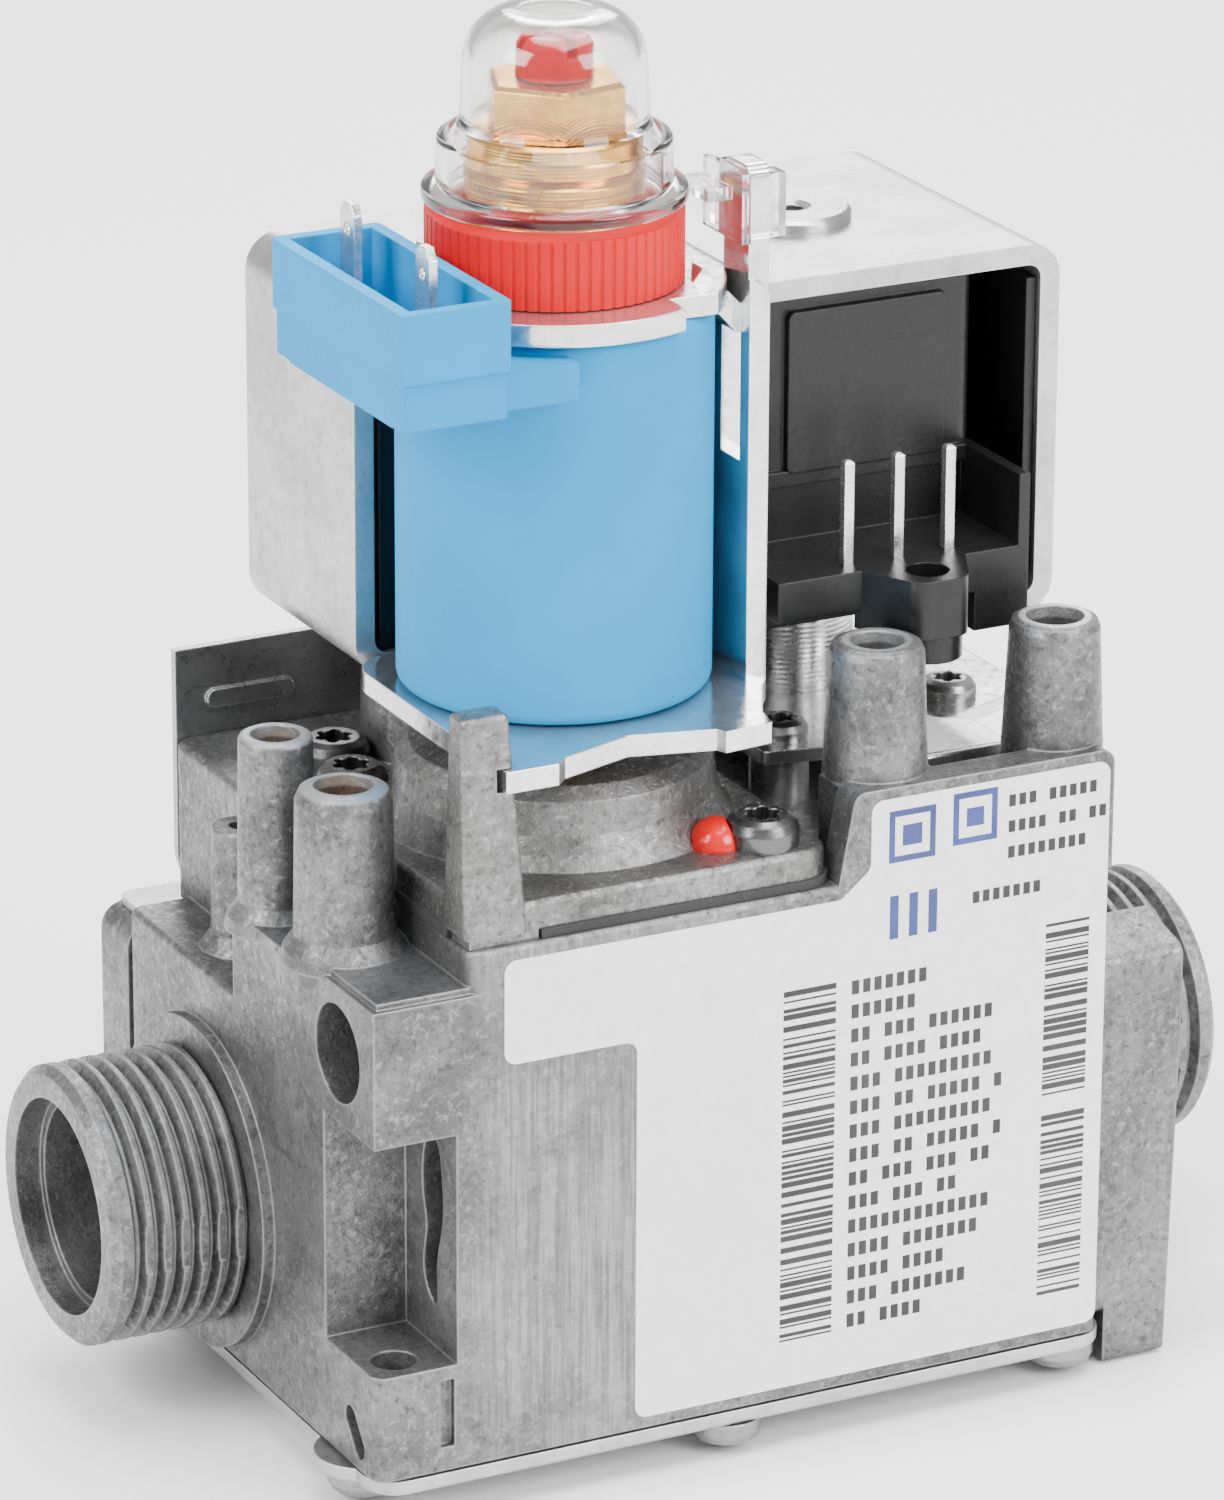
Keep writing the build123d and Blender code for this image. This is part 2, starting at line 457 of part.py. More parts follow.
POST_TOP_Z = 55.6
with BuildPart() as cover:
    with BuildSketch(Plane.XY.offset(COVER_Z0)):
        cover_plan(0.0)
        with Locations((MX, MY)):
            Circle(DOME_BORE_R, mode=Mode.SUBTRACT)
    extrude(amount=COVER_Z1 - COVER_Z0)
    fillet(cover.faces().sort_by(Axis.Z)[-1].outer_wire().edges(), 0.7)
    turned(MX, MY, DOME_OUTLINE)
    # Foot and tapering post at the front corner, which hooks over the bracket
    block(24.6, 31.4, -36.4, -32.8, DECK_Z, COVER_Z0)
    with BuildSketch(Plane.XY.offset(COVER_Z0)):
        with Locations((27.3, -34.0)):
            RectangleRounded(6.2, 5.4, 0.8)
    with BuildSketch(Plane.XY.offset(POST_TOP_Z)):
        with Locations((26.2, -35.0)):
            RectangleRounded(4.6, 3.0, 0.6)
    loft()
    fillet(cover.faces().sort_by(Axis.Z)[-1].edges(), 0.5)
    block(27.2, 32.0, -39.0, -30.0, YOKE_Z0 - 0.1, YOKE_Z0 + YOKE_T + 0.1, mode=Mode.SUBTRACT)
    for x, y in COVER_SCREWS:
        post(x, y, SCREW_R + 0.2, COVER_Z0 - 1.0, COVER_Z1 + 1.0, mode=Mode.SUBTRACT)
        post(x, y, HEAD_R + 0.15, COVER_Z1, COVER_Z1 + 4.0, mode=Mode.SUBTRACT)
save(cover, "regulator_cover")

with BuildPart() as cover_screws:
    for x, y in COVER_SCREWS:
        pan_screw(x, y, COVER_Z1, 10.5)
save(cover_screws, "regulator_cover_screws")

# Dab of lacquer that seals one cover screw to the dome
with BuildPart() as seal:
    with Locations((51.9, -31.0, COVER_Z1)):
        Sphere(2.6)
    block(45.0, 60.0, -40.0, -20.0, COVER_Z1 - 4.0, COVER_Z1, mode=Mode.SUBTRACT)
    turned(MX, MY, [(0, 30), (16.4, 30)] + DOME_OUTLINE[2:8][::-1] + [(0, DOME_TOP_Z)], Mode.SUBTRACT)
    post(COVER_SCREWS[0][0], COVER_SCREWS[0][1], HEAD_R, COVER_Z1, COVER_Z1 + 6.0, mode=Mode.SUBTRACT)
save(seal, "seal_lacquer")

# ---------------------------------------------------------------- regulator inside the body
with BuildPart() as poppet:
    turned(MX, MY, [
        (0, -14.0), (5.8, -14.0), (5.8, -12.2), (2.8, -12.2), (2.2, -11.4), (1.5, -10.6), (1.5, 28.6),
        (7.6, 29.6), (7.6, 30.8), (2.4, 30.8), (2.4, 35.6), (7.6, 35.6), (7.6, 36.6), (0, 36.6),
    ])
save(poppet, "regulator_poppet")

with BuildPart() as poppet_seal:
    with BuildSketch(Plane.XY.offset(-12.2)):
        with Locations((MX, MY)):
            Circle(5.8)
            Circle(2.9, mode=Mode.SUBTRACT)
    extrude(amount=0.9)
save(poppet_seal, "regulator_seal")

with BuildPart() as poppet_spring:
    coil_spring(MX, MY, 4.6, 0.4, 37.0, 43.4, 3)
save(poppet_spring, "regulator_spring")

# ---------------------------------------------------------------- modulator
ARMATURE_Z0, ARMATURE_Z1 = 51.0, 78.0
with BuildPart() as armature:
    turned(MX, MY, [
        (0, 36.7), (1.6, 36.7), (1.6, ARMATURE_Z0), (ARMATURE_R, ARMATURE_Z0), (ARMATURE_R, ARMATURE_Z1),
        (2.9, ARMATURE_Z1), (2.9, ARMATURE_Z1 - 4.0), (0, ARMATURE_Z1 - 4.0),
    ])
save(armature, "modulator_armature")

TAB_Y0, TAB_Y1, TAB_Z1 = -25.4, -20.6, 98.6
TONGUE_Y0, TONGUE_Y1 = -24.0, -20.4
with BuildPart() as bracket:
    # Bottom plate with the hooked tab in front and the angled ear at the right
    with BuildSketch(Plane.XY.offset(YOKE_Z0)) as bottom_plate:
        with BuildLine():
            Polyline(
                (27.8, -4.6), (27.8, -37.3), (32.9, -37.3), (34.1, -36.1), (41.6, -33.6), (49.4, -35.6),
                (49.9, -36.6), (54.7, -36.1), (55.3, -33.2), (YOKE_X1 - 1.0, -27.0), (YOKE_X1, YOKE_Y0),
                (YOKE_X1, -4.6), close=True,
            )
        make_face()
        fillet(bottom_plate.vertices().group_by(Axis.Y)[-1], 4.0)
    extrude(amount=YOKE_T)
    block(YOKE_X1 - YOKE_T, YOKE_X1, YOKE_Y0, YOKE_Y1, YOKE_Z0, YOKE_Z1)
    # Top plate, round under the lock ring
    with BuildSketch(Plane.XY.offset(YOKE_Z1 - YOKE_T)):
        with Locations((MX, MY)):
            Circle(15.3)
        with Locations(((48.6 + 62.0) / 2, -30.0)):
            Rectangle(62.0 - 48.6, 5.0, mode=Mode.SUBTRACT)
        with Locations(((MX + YOKE_X1) / 2, (YOKE_Y1 + TONGUE_Y1) / 2)):
            Rectangle(YOKE_X1 - MX, YOKE_Y1 - TONGUE_Y1)
        with Locations((25.0, MY)):
            Rectangle(10.0, 40.0, mode=Mode.SUBTRACT)
    extrude(amount=YOKE_T)
    corners = bracket.edges().filter_by(Axis.Y).filter_by_position(Axis.X, YOKE_X1 - 0.1, YOKE_X1 + 0.1)
    fillet(corners.filter_by_position(Axis.Z, YOKE_Z1 - 0.1, YOKE_Z1 + 0.1), 1.9)
    # Tab for the cap's clip, and the tongue that locks the ring
    with BuildSketch(Plane.YZ.offset(YOKE_X1)) as tab_face:
        with Locations(((TAB_Y0 + TAB_Y1) / 2, (YOKE_Z1 - 3.0 + TAB_Z1) / 2)):
            Rectangle(TAB_Y1 - TAB_Y0, TAB_Z1 - YOKE_Z1 + 3.0)
        fillet(tab_face.vertices().group_by(Axis.Z)[-1], 1.1)
    extrude(amount=-YOKE_T)
    with BuildSketch(Plane.XZ.offset(-TONGUE_Y1)):
        with BuildLine():
            Polyline(
                (59.0, 83.0), (57.2, 83.0), (52.6, 88.0), (53.8, 89.5), (57.6, 85.6), (59.0, 85.6),
                close=True,
            )
        make_face()
    extrude(amount=TONGUE_Y1 - TONGUE_Y0)
    post(MX, MY, RING_R + 0.6, YOKE_Z1, 93.0, mode=Mode.SUBTRACT)
    post(MX, MY, COIL_R + 0.2, YOKE_Z0 + YOKE_T, YOKE_Z1 - YOKE_T, mode=Mode.SUBTRACT)
    # Slot that the tongue was cut from, and the hole for the core tube
    block(YOKE_X1 - 3, YOKE_X1 + 1, TONGUE_Y0, TONGUE_Y1, 71.0, 83.0, mode=Mode.SUBTRACT)
    post(MX, MY, CORE_R + FIT, YOKE_Z0 - 1, YOKE_Z1 + 1, mode=Mode.SUBTRACT)
save(bracket, "modulator_bracket")

SOCKET_X0, SOCKET_X1, SOCKET_Y0, SOCKET_Y1 = 19.0, 29.6, -35.0, -8.0
SOCKET_Z0, SOCKET_STEP_Z, SOCKET_Z1 = 82.0, 86.3, 92.6
WINDING_Z0, WINDING_Z1 = 54.0, 80.0
with BuildPart() as coil:
    post(MX, MY, COIL_R, COIL_Z0, COIL_Z1)
    fillet(coil.edges().filter_by(GeomType.CIRCLE), 1.1)
    block(SOCKET_X0 + 0.4, 37.4, SOCKET_Y0 + 2.8, SOCKET_Y1 - 3.0, SOCKET_Z0 - 0.2, 85.2)
    block(SOCKET_X0 + 0.4, SOCKET_X1 - 0.4, SOCKET_Y0 + 0.4, SOCKET_Y1 - 0.4, SOCKET_Z0, SOCKET_STEP_Z)
    block(SOCKET_X0, SOCKET_X1, SOCKET_Y0, SOCKET_Y1, SOCKET_STEP_Z, SOCKET_Z1)
    fillet(coil.edges().filter_by(Axis.Z).filter_by_position(Axis.Z, 88.0, 90.0), 0.6)
    block(
        SOCKET_X0 + 1.3, SOCKET_X1 - 1.3, SOCKET_Y0 + 1.3, SOCKET_Y1 - 1.3,
        SOCKET_Z0 + 2.4, SOCKET_Z1 + 1, mode=Mode.SUBTRACT,
    )
    post(MX, MY, CORE_R + FIT, COIL_Z0 - 1, COIL_Z1 + 1, mode=Mode.SUBTRACT)
    post(MX, MY, 12.4, WINDING_Z0, WINDING_Z1, mode=Mode.SUBTRACT)
    for y in (-13.6, -28.8):
        block(23.9, 24.7, y - 1.45, y + 1.45, SOCKET_Z0, SOCKET_Z0 + 3.0, mode=Mode.SUBTRACT)
save(coil, "modulator_coil")

with BuildPart() as winding:
    with BuildSketch(Plane.XY.offset(WINDING_Z0 + 0.1)):
        with Locations((MX, MY)):
            Circle(12.3)
            Circle(CORE_R + 0.4, mode=Mode.SUBTRACT)
    extrude(amount=WINDING_Z1 - WINDING_Z0 - 0.2)
save(winding, "modulator_winding")

with BuildPart() as terminals:
    for y in (-13.6, -28.8):
        with BuildSketch(Plane.YZ.offset(23.9)) as blade:
            with BuildLine():
                Polyline(
                    (y - 1.4, SOCKET_Z0), (y - 1.4, 95.6), (y - 0.7, 96.6), (y + 0.7, 96.6), (y + 1.4, 95.6),
                    (y + 1.4, SOCKET_Z0), close=True,
                )
            make_face()
            with Locations((y, 94.2)):
                Circle(0.55, mode=Mode.SUBTRACT)
        extrude(amount=0.8)
save(terminals, "modulator_terminals")

with BuildPart() as core_tube:
    turned(MX, MY, [
        (CORE_BORE_R, 44.2), (CORE_R, 44.2), (CORE_R, COLLAR_Z0), (COLLAR_R, COLLAR_Z0), (COLLAR_R, 98.2),
        (COLLAR_R - 0.5, 98.7), (COLLAR_R, 99.2), (COLLAR_R, COLLAR_Z1 - 0.6), (COLLAR_R - 0.6, COLLAR_Z1),
        (CORE_BORE_R, COLLAR_Z1),
    ])
save(core_tube, "core_tube")

with BuildPart() as lock_ring:
    with BuildSketch(Plane.XY.offset(RING_Z0)):
        with Locations((MX, MY)):
            Circle(RING_R)
            with PolarLocations(RING_R + 0.05, 64):
                Circle(0.2, mode=Mode.SUBTRACT)
            Circle(CORE_R + RUN, mode=Mode.SUBTRACT)
    extrude(amount=RING_Z1 - RING_Z0 - 0.7)
    turned(MX, MY, [
        (CORE_R + RUN, RING_Z1 - 0.7), (RING_R - 0.3, RING_Z1 - 0.7), (RING_R - 1.0, RING_Z1),
        (9.6, RING_Z1), (9.2, RING_Z1 - 0.5), (CORE_R + RUN, RING_Z1 - 0.5),
    ])
save(lock_ring, "lock_ring")

HEX_R = 6.5
with BuildPart() as max_adjuster:
    turned(MX, MY, [
        (0, 88.0), (CORE_BORE_R - RUN, 88.0), (CORE_BORE_R - RUN, COLLAR_Z1 + 0.1), (0, COLLAR_Z1 + 0.1),
    ])
    with BuildSketch(Plane.XY.offset(COLLAR_Z1 + 0.1)):
        with Locations(Location((MX, MY, 0), (0, 0, 12))):
            RegularPolygon(HEX_R, 6)
    extrude(amount=HEX_Z1 - COLLAR_Z1 - 0.1)
    chamfer(max_adjuster.faces().sort_by(Axis.Z)[-1].edges(), 0.4)
    post(MX, MY, 2.6 + RUN, 88.0 + 2.0, HEX_Z1 + 1, mode=Mode.SUBTRACT)
save(max_adjuster, "max_adjuster")

with BuildPart() as min_adjuster:
    turned(MX, MY, [
        (0, 92.0), (2.6, 92.0), (2.6, HEX_Z1 + 0.1), (3.5, HEX_Z1 + 0.1), (3.4, 109.6), (2.9, 110.4),
        (0, 110.4),
    ])
    block(MX - 4, MX + 4, MY - 0.5, MY + 0.5, 108.8, 111.0, mode=Mode.SUBTRACT)
    block(MX - 0.5, MX + 0.5, MY - 4, MY + 4, 108.8, 111.0, mode=Mode.SUBTRACT)
save(min_adjuster, "min_adjuster")

with BuildPart() as armature_spring:
    coil_spring(MX, MY, 2.1, 0.35, 74.1, 87.8, 7)
save(armature_spring, "modulator_spring")

with BuildPart() as cap:
    dome_top_r, inner_top_r = CAP_DOME_R - 0.4, CAP_DOME_R - 1.3
    turned(MX, MY, [
        (CAP_FLANGE_R - 1.6, CAP_Z0), (CAP_FLANGE_R, CAP_Z0), (CAP_FLANGE_R, CAP_Z0 + 1.2),
        (CAP_R + 0.1, CAP_Z0 + 1.8), (CAP_R, 101.2), (CAP_DOME_R + 0.3, CAP_SHOULDER_Z), (CAP_DOME_R, 103.0),
        (dome_top_r, CAP_TOP_Z), (0, CAP_TOP_Z), (0, CAP_TOP_Z - 0.9), (inner_top_r, CAP_TOP_Z - 0.9),
        (7.45, 102.6), (9.4, 100.6), (9.5, CAP_Z0 + 1.2), (CAP_FLANGE_R - 1.6, CAP_Z0 + 1.2),
    ], rounds=[
        (dome_top_r, CAP_TOP_Z, 4.8), (inner_top_r, CAP_TOP_Z - 0.9, 3.9), (CAP_R, 101.2, 0.7),
        (CAP_FLANGE_R, CAP_Z0 + 1.2, 0.5), (CAP_FLANGE_R, CAP_Z0, 0.4),
    ])
    # Arm to the bracket's tab, ending in a clip round it
    block(MX + CAP_FLANGE_R - 0.8, 57.0, TAB_Y0 + 1.0, TAB_Y1 + 1.6, CAP_Z0, CAP_Z0 + 1.2)
    block(56.4, 57.3, TAB_Y0 - 0.9, TAB_Y1 + 1.8, 91.8, 98.2)
    for y0, y1, lip_y0, lip_y1 in (
        (TAB_Y0 - 1.0, TAB_Y0 - 0.2, TAB_Y0 - 1.0, TAB_Y0 + 1.2),
        (TAB_Y1 + 0.2, TAB_Y1 + 1.0, TAB_Y1 - 1.2, TAB_Y1 + 1.0),
    ):
        block(57.2, 60.7, y0, y1, 92.2, 98.0)
        block(59.9, 60.7, lip_y0, lip_y1, 92.2, 98.0)
save(cap, "clear_cap")

# ---------------------------------------------------------------- shut-off solenoids
RIGHT_WIDTH = FRAME_Y1 - FRAME_Y0
with BuildPart() as frame:
    frame_w, frame_h = FRAME_X1 - FRAME_X0, FRAME_Z1 - FRAME_Z0
    with BuildSketch(Plane.XZ.offset(-FRAME_Y1)):
        with Locations(((FRAME_X0 + FRAME_X1) / 2, (FRAME_Z0 + FRAME_Z1) / 2)):
            RectangleRounded(frame_w, frame_h, 3.4)
            RectangleRounded(frame_w - 2 * FRAME_T, frame_h - 2 * FRAME_T, 1.4, mode=Mode.SUBTRACT)
    extrude(amount=RIGHT_WIDTH)
    # The left half is narrower and is cut round the modulator; the bottom is short at the right
    cut_z0, cut_z1 = FRAME_Z0 - 1, FRAME_Z1 + 1
    block(FRAME_X0 - 1, FRAME_STEP_X, FRAME_Y0 - 1, FRAME_LEFT_Y0, cut_z0, cut_z1, mode=Mode.SUBTRACT)
    block(FRAME_STEP_X - 6, 86.0, FRAME_Y0 - 1, FRAME_LEFT_Y0 - 4.0, FRAME_Z0 - 1, 60.0, mode=Mode.SUBTRACT)
    post(MX, MY, 15.7, FRAME_Z0 - 1, FRAME_Z1 + 1, mode=Mode.SUBTRACT)
    post(E1X, E1Y, 4.2 + FIT, FRAME_Z0 - 1, FRAME_Z1 + 1, mode=Mode.SUBTRACT)
    post(E2X, E2Y, 3.4 + FIT, FRAME_Z0 - 1, FRAME_Z0 + 5, mode=Mode.SUBTRACT)
    post(E2X, E2Y, 1.6 + FIT, FRAME_Z1 - 5, FRAME_Z1 + 1, mode=Mode.SUBTRACT)
    top_corners = frame.edges().filter_by(Axis.Z).filter_by_position(Axis.Z, FRAME_Z1 - 2, FRAME_Z1)
    fillet(top_corners.sort_by(Axis.Y)[0], 0.8)
save(frame, "solenoid_frame")

INNER_Z0, INNER_Z1 = FRAME_Z0 + FRAME_T + 0.1, FRAME_Z1 - FRAME_T - 0.1
with BuildPart() as housing:
    # Coil blocks
    block(62.0, HOUSING_X1, HOUSING_Y0, HOUSING_Y1, INNER_Z0, INNER_Z1)
    fillet(housing.edges().filter_by(Axis.Z), 1.6)
    block(FRAME_X0 + 2.9, 63.0, -3.4, HOUSING_Y1, INNER_Z0, INNER_Z1)
    post(MX, MY, 15.2, INNER_Z0 - 1, INNER_Z1 + 1, mode=Mode.SUBTRACT)
    with BuildSketch(Plane.XZ.offset(-HOUSING_Y0)) as pad:
        with Locations((75.6, 73.2)):
            RectangleRounded(16.6, 15.6, 0.8)
    extrude(amount=0.7, taper=12)
    # Cheek against the frame's right side, joined to the coil block at the back
    cheek_x1 = FRAME_X1 - FRAME_T - 0.1
    block(cheek_x1 - 1.0, cheek_x1, FRAME_Y0 + 0.7, HOUSING_Y1, INNER_Z0 + 1.4, INNER_Z1 - 1.4)
    block(HOUSING_X1 - 1.0, cheek_x1 - 0.5, 8.0, HOUSING_Y1, INNER_Z0 + 1.4, INNER_Z1 - 1.4)
    # Connector tray: floor, right wall, rim strip, lower step, and the lug with the screw hole
    block(61.2, HOUSING_X1, HOUSING_Y0 - 0.6, HOUSING_Y0 + 1, TRAY_TOP_Z - 1.5, TRAY_TOP_Z)
    block(61.2, HOUSING_X1, TRAY_Y0, HOUSING_Y0 + 1, 55.2, TRAY_FLOOR_Z)
    block(HOUSING_X1 - 1.1, HOUSING_X1, TRAY_Y0, HOUSING_Y0 + 1, 55.2, TRAY_TOP_Z)
    block(81.6, HOUSING_X1, TRAY_Y0, HOUSING_Y0 + 1, 51.4, 56.0)
    with BuildSketch(Plane.XY.offset(TRAY_LUG_Z0)) as lug_plan:
        with BuildLine():
            Polyline((69.4, TRAY_Y0 + 0.6), (72.8, -30.6), (77.8, -30.6), (80.8, TRAY_Y0 + 0.6), close=True)
        make_face()
        fillet(lug_plan.vertices().group_by(Axis.Y)[0], 1.9)
    extrude(amount=TRAY_FLOOR_Z - TRAY_LUG_Z0)
    post(LUG_HOLE[0], LUG_HOLE[1], 3.3, 51.0, TRAY_FLOOR_Z)
    post(LUG_HOLE[0], LUG_HOLE[1], 2.0, 50.0, TRAY_FLOOR_Z + 1, mode=Mode.SUBTRACT)
    # Bores for the core tubes and chambers for the windings
    post(E1X, E1Y, 4.2 + FIT, INNER_Z0 - 1, INNER_Z1 + 1, mode=Mode.SUBTRACT)
    post(E1X, E1Y, 9.6, 56.0, 79.5, mode=Mode.SUBTRACT)
    post(E2X, E2Y, 3.4 + FIT, INNER_Z0 - 1, INNER_Z1 + 1, mode=Mode.SUBTRACT)
    post(E2X, E2Y, 6.0, 56.0, 79.5, mode=Mode.SUBTRACT)
    for x in (69.5, 74.7, 80.0):
        block(x - 0.5, x + 0.5, -23.0, -22.0, 56.5, TRAY_FLOOR_Z + 1, mode=Mode.SUBTRACT)
save(housing, "solenoid_moulding")

with BuildPart() as pins:
    for x in (69.5, 74.7, 80.0):
        block(x - 0.48, x + 0.48, -22.98, -22.02, 56.5, 68.9)
    chamfer(pins.faces().group_by(Axis.Z)[-1].edges(), 0.25)
save(pins, "connector_pins")

for x, y, r_in, r_out, name in ((E1X, E1Y, 4.4, 9.5, "main_winding"), (E2X, E2Y, 3.6, 5.9, "servo_winding")):
    with BuildPart() as ev_winding:
        with BuildSketch(Plane.XY.offset(56.1)):
            with Locations((x, y)):
                Circle(r_out)
                Circle(r_in, mode=Mode.SUBTRACT)
        extrude(amount=23.3)
    save(ev_winding, name)

# Core tubes: a flange on the casting, a tube through the coil and a solid pole piece at the top
MAIN_BORE, SERVO_BORE = 3.6, 2.8
POLE_Z = 74.0
with BuildPart() as main_tube:
    turned(E1X, E1Y, [
        (MAIN_BORE, DECK_Z), (9.6, DECK_Z), (9.6, 38.4), (6.4, 38.6), (6.4, FRAME_Z0), (4.2, FRAME_Z0),
        (4.2, FRAME_Z1), (1.8, FRAME_Z1), (1.8, 78.0), (0, 78.0), (0, POLE_Z), (MAIN_BORE, POLE_Z),
    ])
save(main_tube, "main_core_tube")

with BuildPart() as servo_tube:
    turned(E2X, E2Y, [
        (SERVO_BORE, 46.0), (6.2, 46.0), (6.2, 47.6), (5.0, FRAME_Z0), (3.4, FRAME_Z0), (3.4, INNER_Z1),
        (1.6, INNER_Z1), (1.6, FRAME_Z1 + 0.6), (0, FRAME_Z1 + 0.6), (0, POLE_Z), (SERVO_BORE, POLE_Z),
    ])
save(servo_tube, "servo_core_tube")

with BuildPart() as top_screw:
    turned(E1X, E1Y, [
        (0, 78.4), (1.7, 78.4), (1.78, 79.2), (1.78, FRAME_Z1), (5.7, FRAME_Z1), (5.7, FRAME_Z1 + 0.9),
        (5.3, FRAME_Z1 + 1.3), (2.0, FRAME_Z1 + 1.3), (1.3, FRAME_Z1 + 0.9), (1.3, 81.0), (0, 81.0),
    ])
save(top_screw, "main_core_screw")

PLUNGER_TOP = POLE_Z - 2.6
for x, y, bore, stem_r, disc_r, seat_z, bottom, name in (
    (E1X, E1Y, MAIN_BORE, 1.6, 6.4, SEAT_Z, 42.0, "main"),
    (E2X, E2Y, SERVO_BORE, 1.1, 3.4, 12.0, 47.0, "servo"),
):
    with BuildPart() as plunger:
        turned(x, y, [
            (0, seat_z + 1.6), (disc_r, seat_z + 1.6), (disc_r, seat_z + 2.8), (stem_r, seat_z + 3.6),
            (stem_r, bottom), (bore - RUN, bottom), (bore - RUN, PLUNGER_TOP), (bore - 0.9, PLUNGER_TOP),
            (bore - 0.9, PLUNGER_TOP - 5.0), (0, PLUNGER_TOP - 5.0),
        ])
    save(plunger, f"{name}_plunger")
    with BuildPart() as disc:
        post(x, y, disc_r, seat_z + 0.02, seat_z + 1.6)
    save(disc, f"{name}_valve_disc")
    with BuildPart() as return_spring:
        coil_spring(x, y, bore - 1.4, 0.3, PLUNGER_TOP - 4.95, POLE_Z - 0.05, 4)
    save(return_spring, f"{name}_spring")

# Steel plate that clamps the main core tube, with a rolled front edge and two screws
CLAMP_Z0, CLAMP_Z1 = 38.7, 40.0
CLAMP_SCREWS = [(86.6, -11.6), (67.2, -14.4)]
with BuildPart() as clamp_plate:
    with BuildSketch(Plane.XY.offset(CLAMP_Z0)) as clamp_plan:
        with BuildLine():
            Polyline(
                (67.4, 10.4), (67.4, -9.0), (63.8, -11.6), (63.8, -17.6), (76.0, -20.0), (76.0, -24.6),
                (85.6, -24.6), (85.6, -18.6), (84.2, -16.8), (90.0, -14.6), (94.6, -12.0), (94.6, 10.4),
                close=True,
            )
        make_face()
        fillet(clamp_plan.vertices(), 0.7)
        with Locations((E1X, E1Y)):
            Circle(6.4 + FIT, mode=Mode.SUBTRACT)
        with Locations(*CLAMP_SCREWS):
            Circle(1.7, mode=Mode.SUBTRACT)
    extrude(amount=CLAMP_Z1 - CLAMP_Z0)
    block(76.3, 85.3, -25.0, -23.7, 37.2, CLAMP_Z1)
    fillet(clamp_plate.edges().filter_by(Axis.X).sort_by(Axis.Y)[0:2], 0.5)
    for x, y in CLAMP_SCREWS:
        post(x, y, 2.8, DECK_Z, CLAMP_Z0)
        post(x, y, 1.7, DECK_Z, CLAMP_Z0, mode=Mode.SUBTRACT)
save(clamp_plate, "core_clamp_plate")

with BuildPart() as clamp_screws:
    for x, y in CLAMP_SCREWS:
        pan_screw(x, y, CLAMP_Z1, CLAMP_Z1 - DECK_Z, head_r=2.7, head_h=1.9, shank_r=1.5)
save(clamp_screws, "core_clamp_screws")

with BuildPart() as tower_screws:
    for x, y in TOWER_SCREWS:
        pan_screw(x, y, TOWER_Z, 9.0, head_h=2.6)
save(tower_screws, "tower_screws")

# ---------------------------------------------------------------- rating label
with BuildPart() as label:
    with BuildSketch(Plane.XZ.offset(-FRONT_Y)) as label_face:
        with BuildLine():
            Polyline(
                (27.6, 22.8), (27.6, 32.7), (61.4, 32.7), (64.4, 35.2), (64.4, 41.6), (89.2, 41.6),
                (89.2, -14.4), (40.8, -14.4), (40.8, 22.8), close=True,
            )
        make_face()
        fillet(label_face.vertices(), 1.2)
    extrude(amount=0.1)
save(label, "rating_label")
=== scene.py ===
import math
import random

import bmesh
import bpy
from mathutils import Matrix, Vector


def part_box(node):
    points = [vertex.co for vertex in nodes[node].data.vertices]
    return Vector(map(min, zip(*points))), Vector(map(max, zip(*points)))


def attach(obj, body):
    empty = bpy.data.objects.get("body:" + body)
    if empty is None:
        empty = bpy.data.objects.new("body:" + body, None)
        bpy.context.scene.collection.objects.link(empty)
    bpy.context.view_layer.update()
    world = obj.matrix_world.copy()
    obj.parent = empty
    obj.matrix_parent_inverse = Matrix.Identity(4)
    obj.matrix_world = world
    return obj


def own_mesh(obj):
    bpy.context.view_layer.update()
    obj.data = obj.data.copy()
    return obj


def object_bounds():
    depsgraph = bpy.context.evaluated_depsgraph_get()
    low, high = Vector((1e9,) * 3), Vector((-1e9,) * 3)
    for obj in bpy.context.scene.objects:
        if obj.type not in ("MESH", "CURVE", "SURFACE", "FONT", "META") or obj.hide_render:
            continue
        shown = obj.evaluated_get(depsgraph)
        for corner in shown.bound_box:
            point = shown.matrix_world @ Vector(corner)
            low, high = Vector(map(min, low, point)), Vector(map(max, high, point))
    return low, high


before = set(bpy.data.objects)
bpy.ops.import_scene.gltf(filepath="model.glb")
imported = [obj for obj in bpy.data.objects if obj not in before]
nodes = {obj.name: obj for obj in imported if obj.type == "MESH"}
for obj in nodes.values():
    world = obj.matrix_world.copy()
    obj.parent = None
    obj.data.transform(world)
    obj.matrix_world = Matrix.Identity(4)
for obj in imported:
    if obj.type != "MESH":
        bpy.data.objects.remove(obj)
cad_low, cad_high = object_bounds()

MM = 0.001


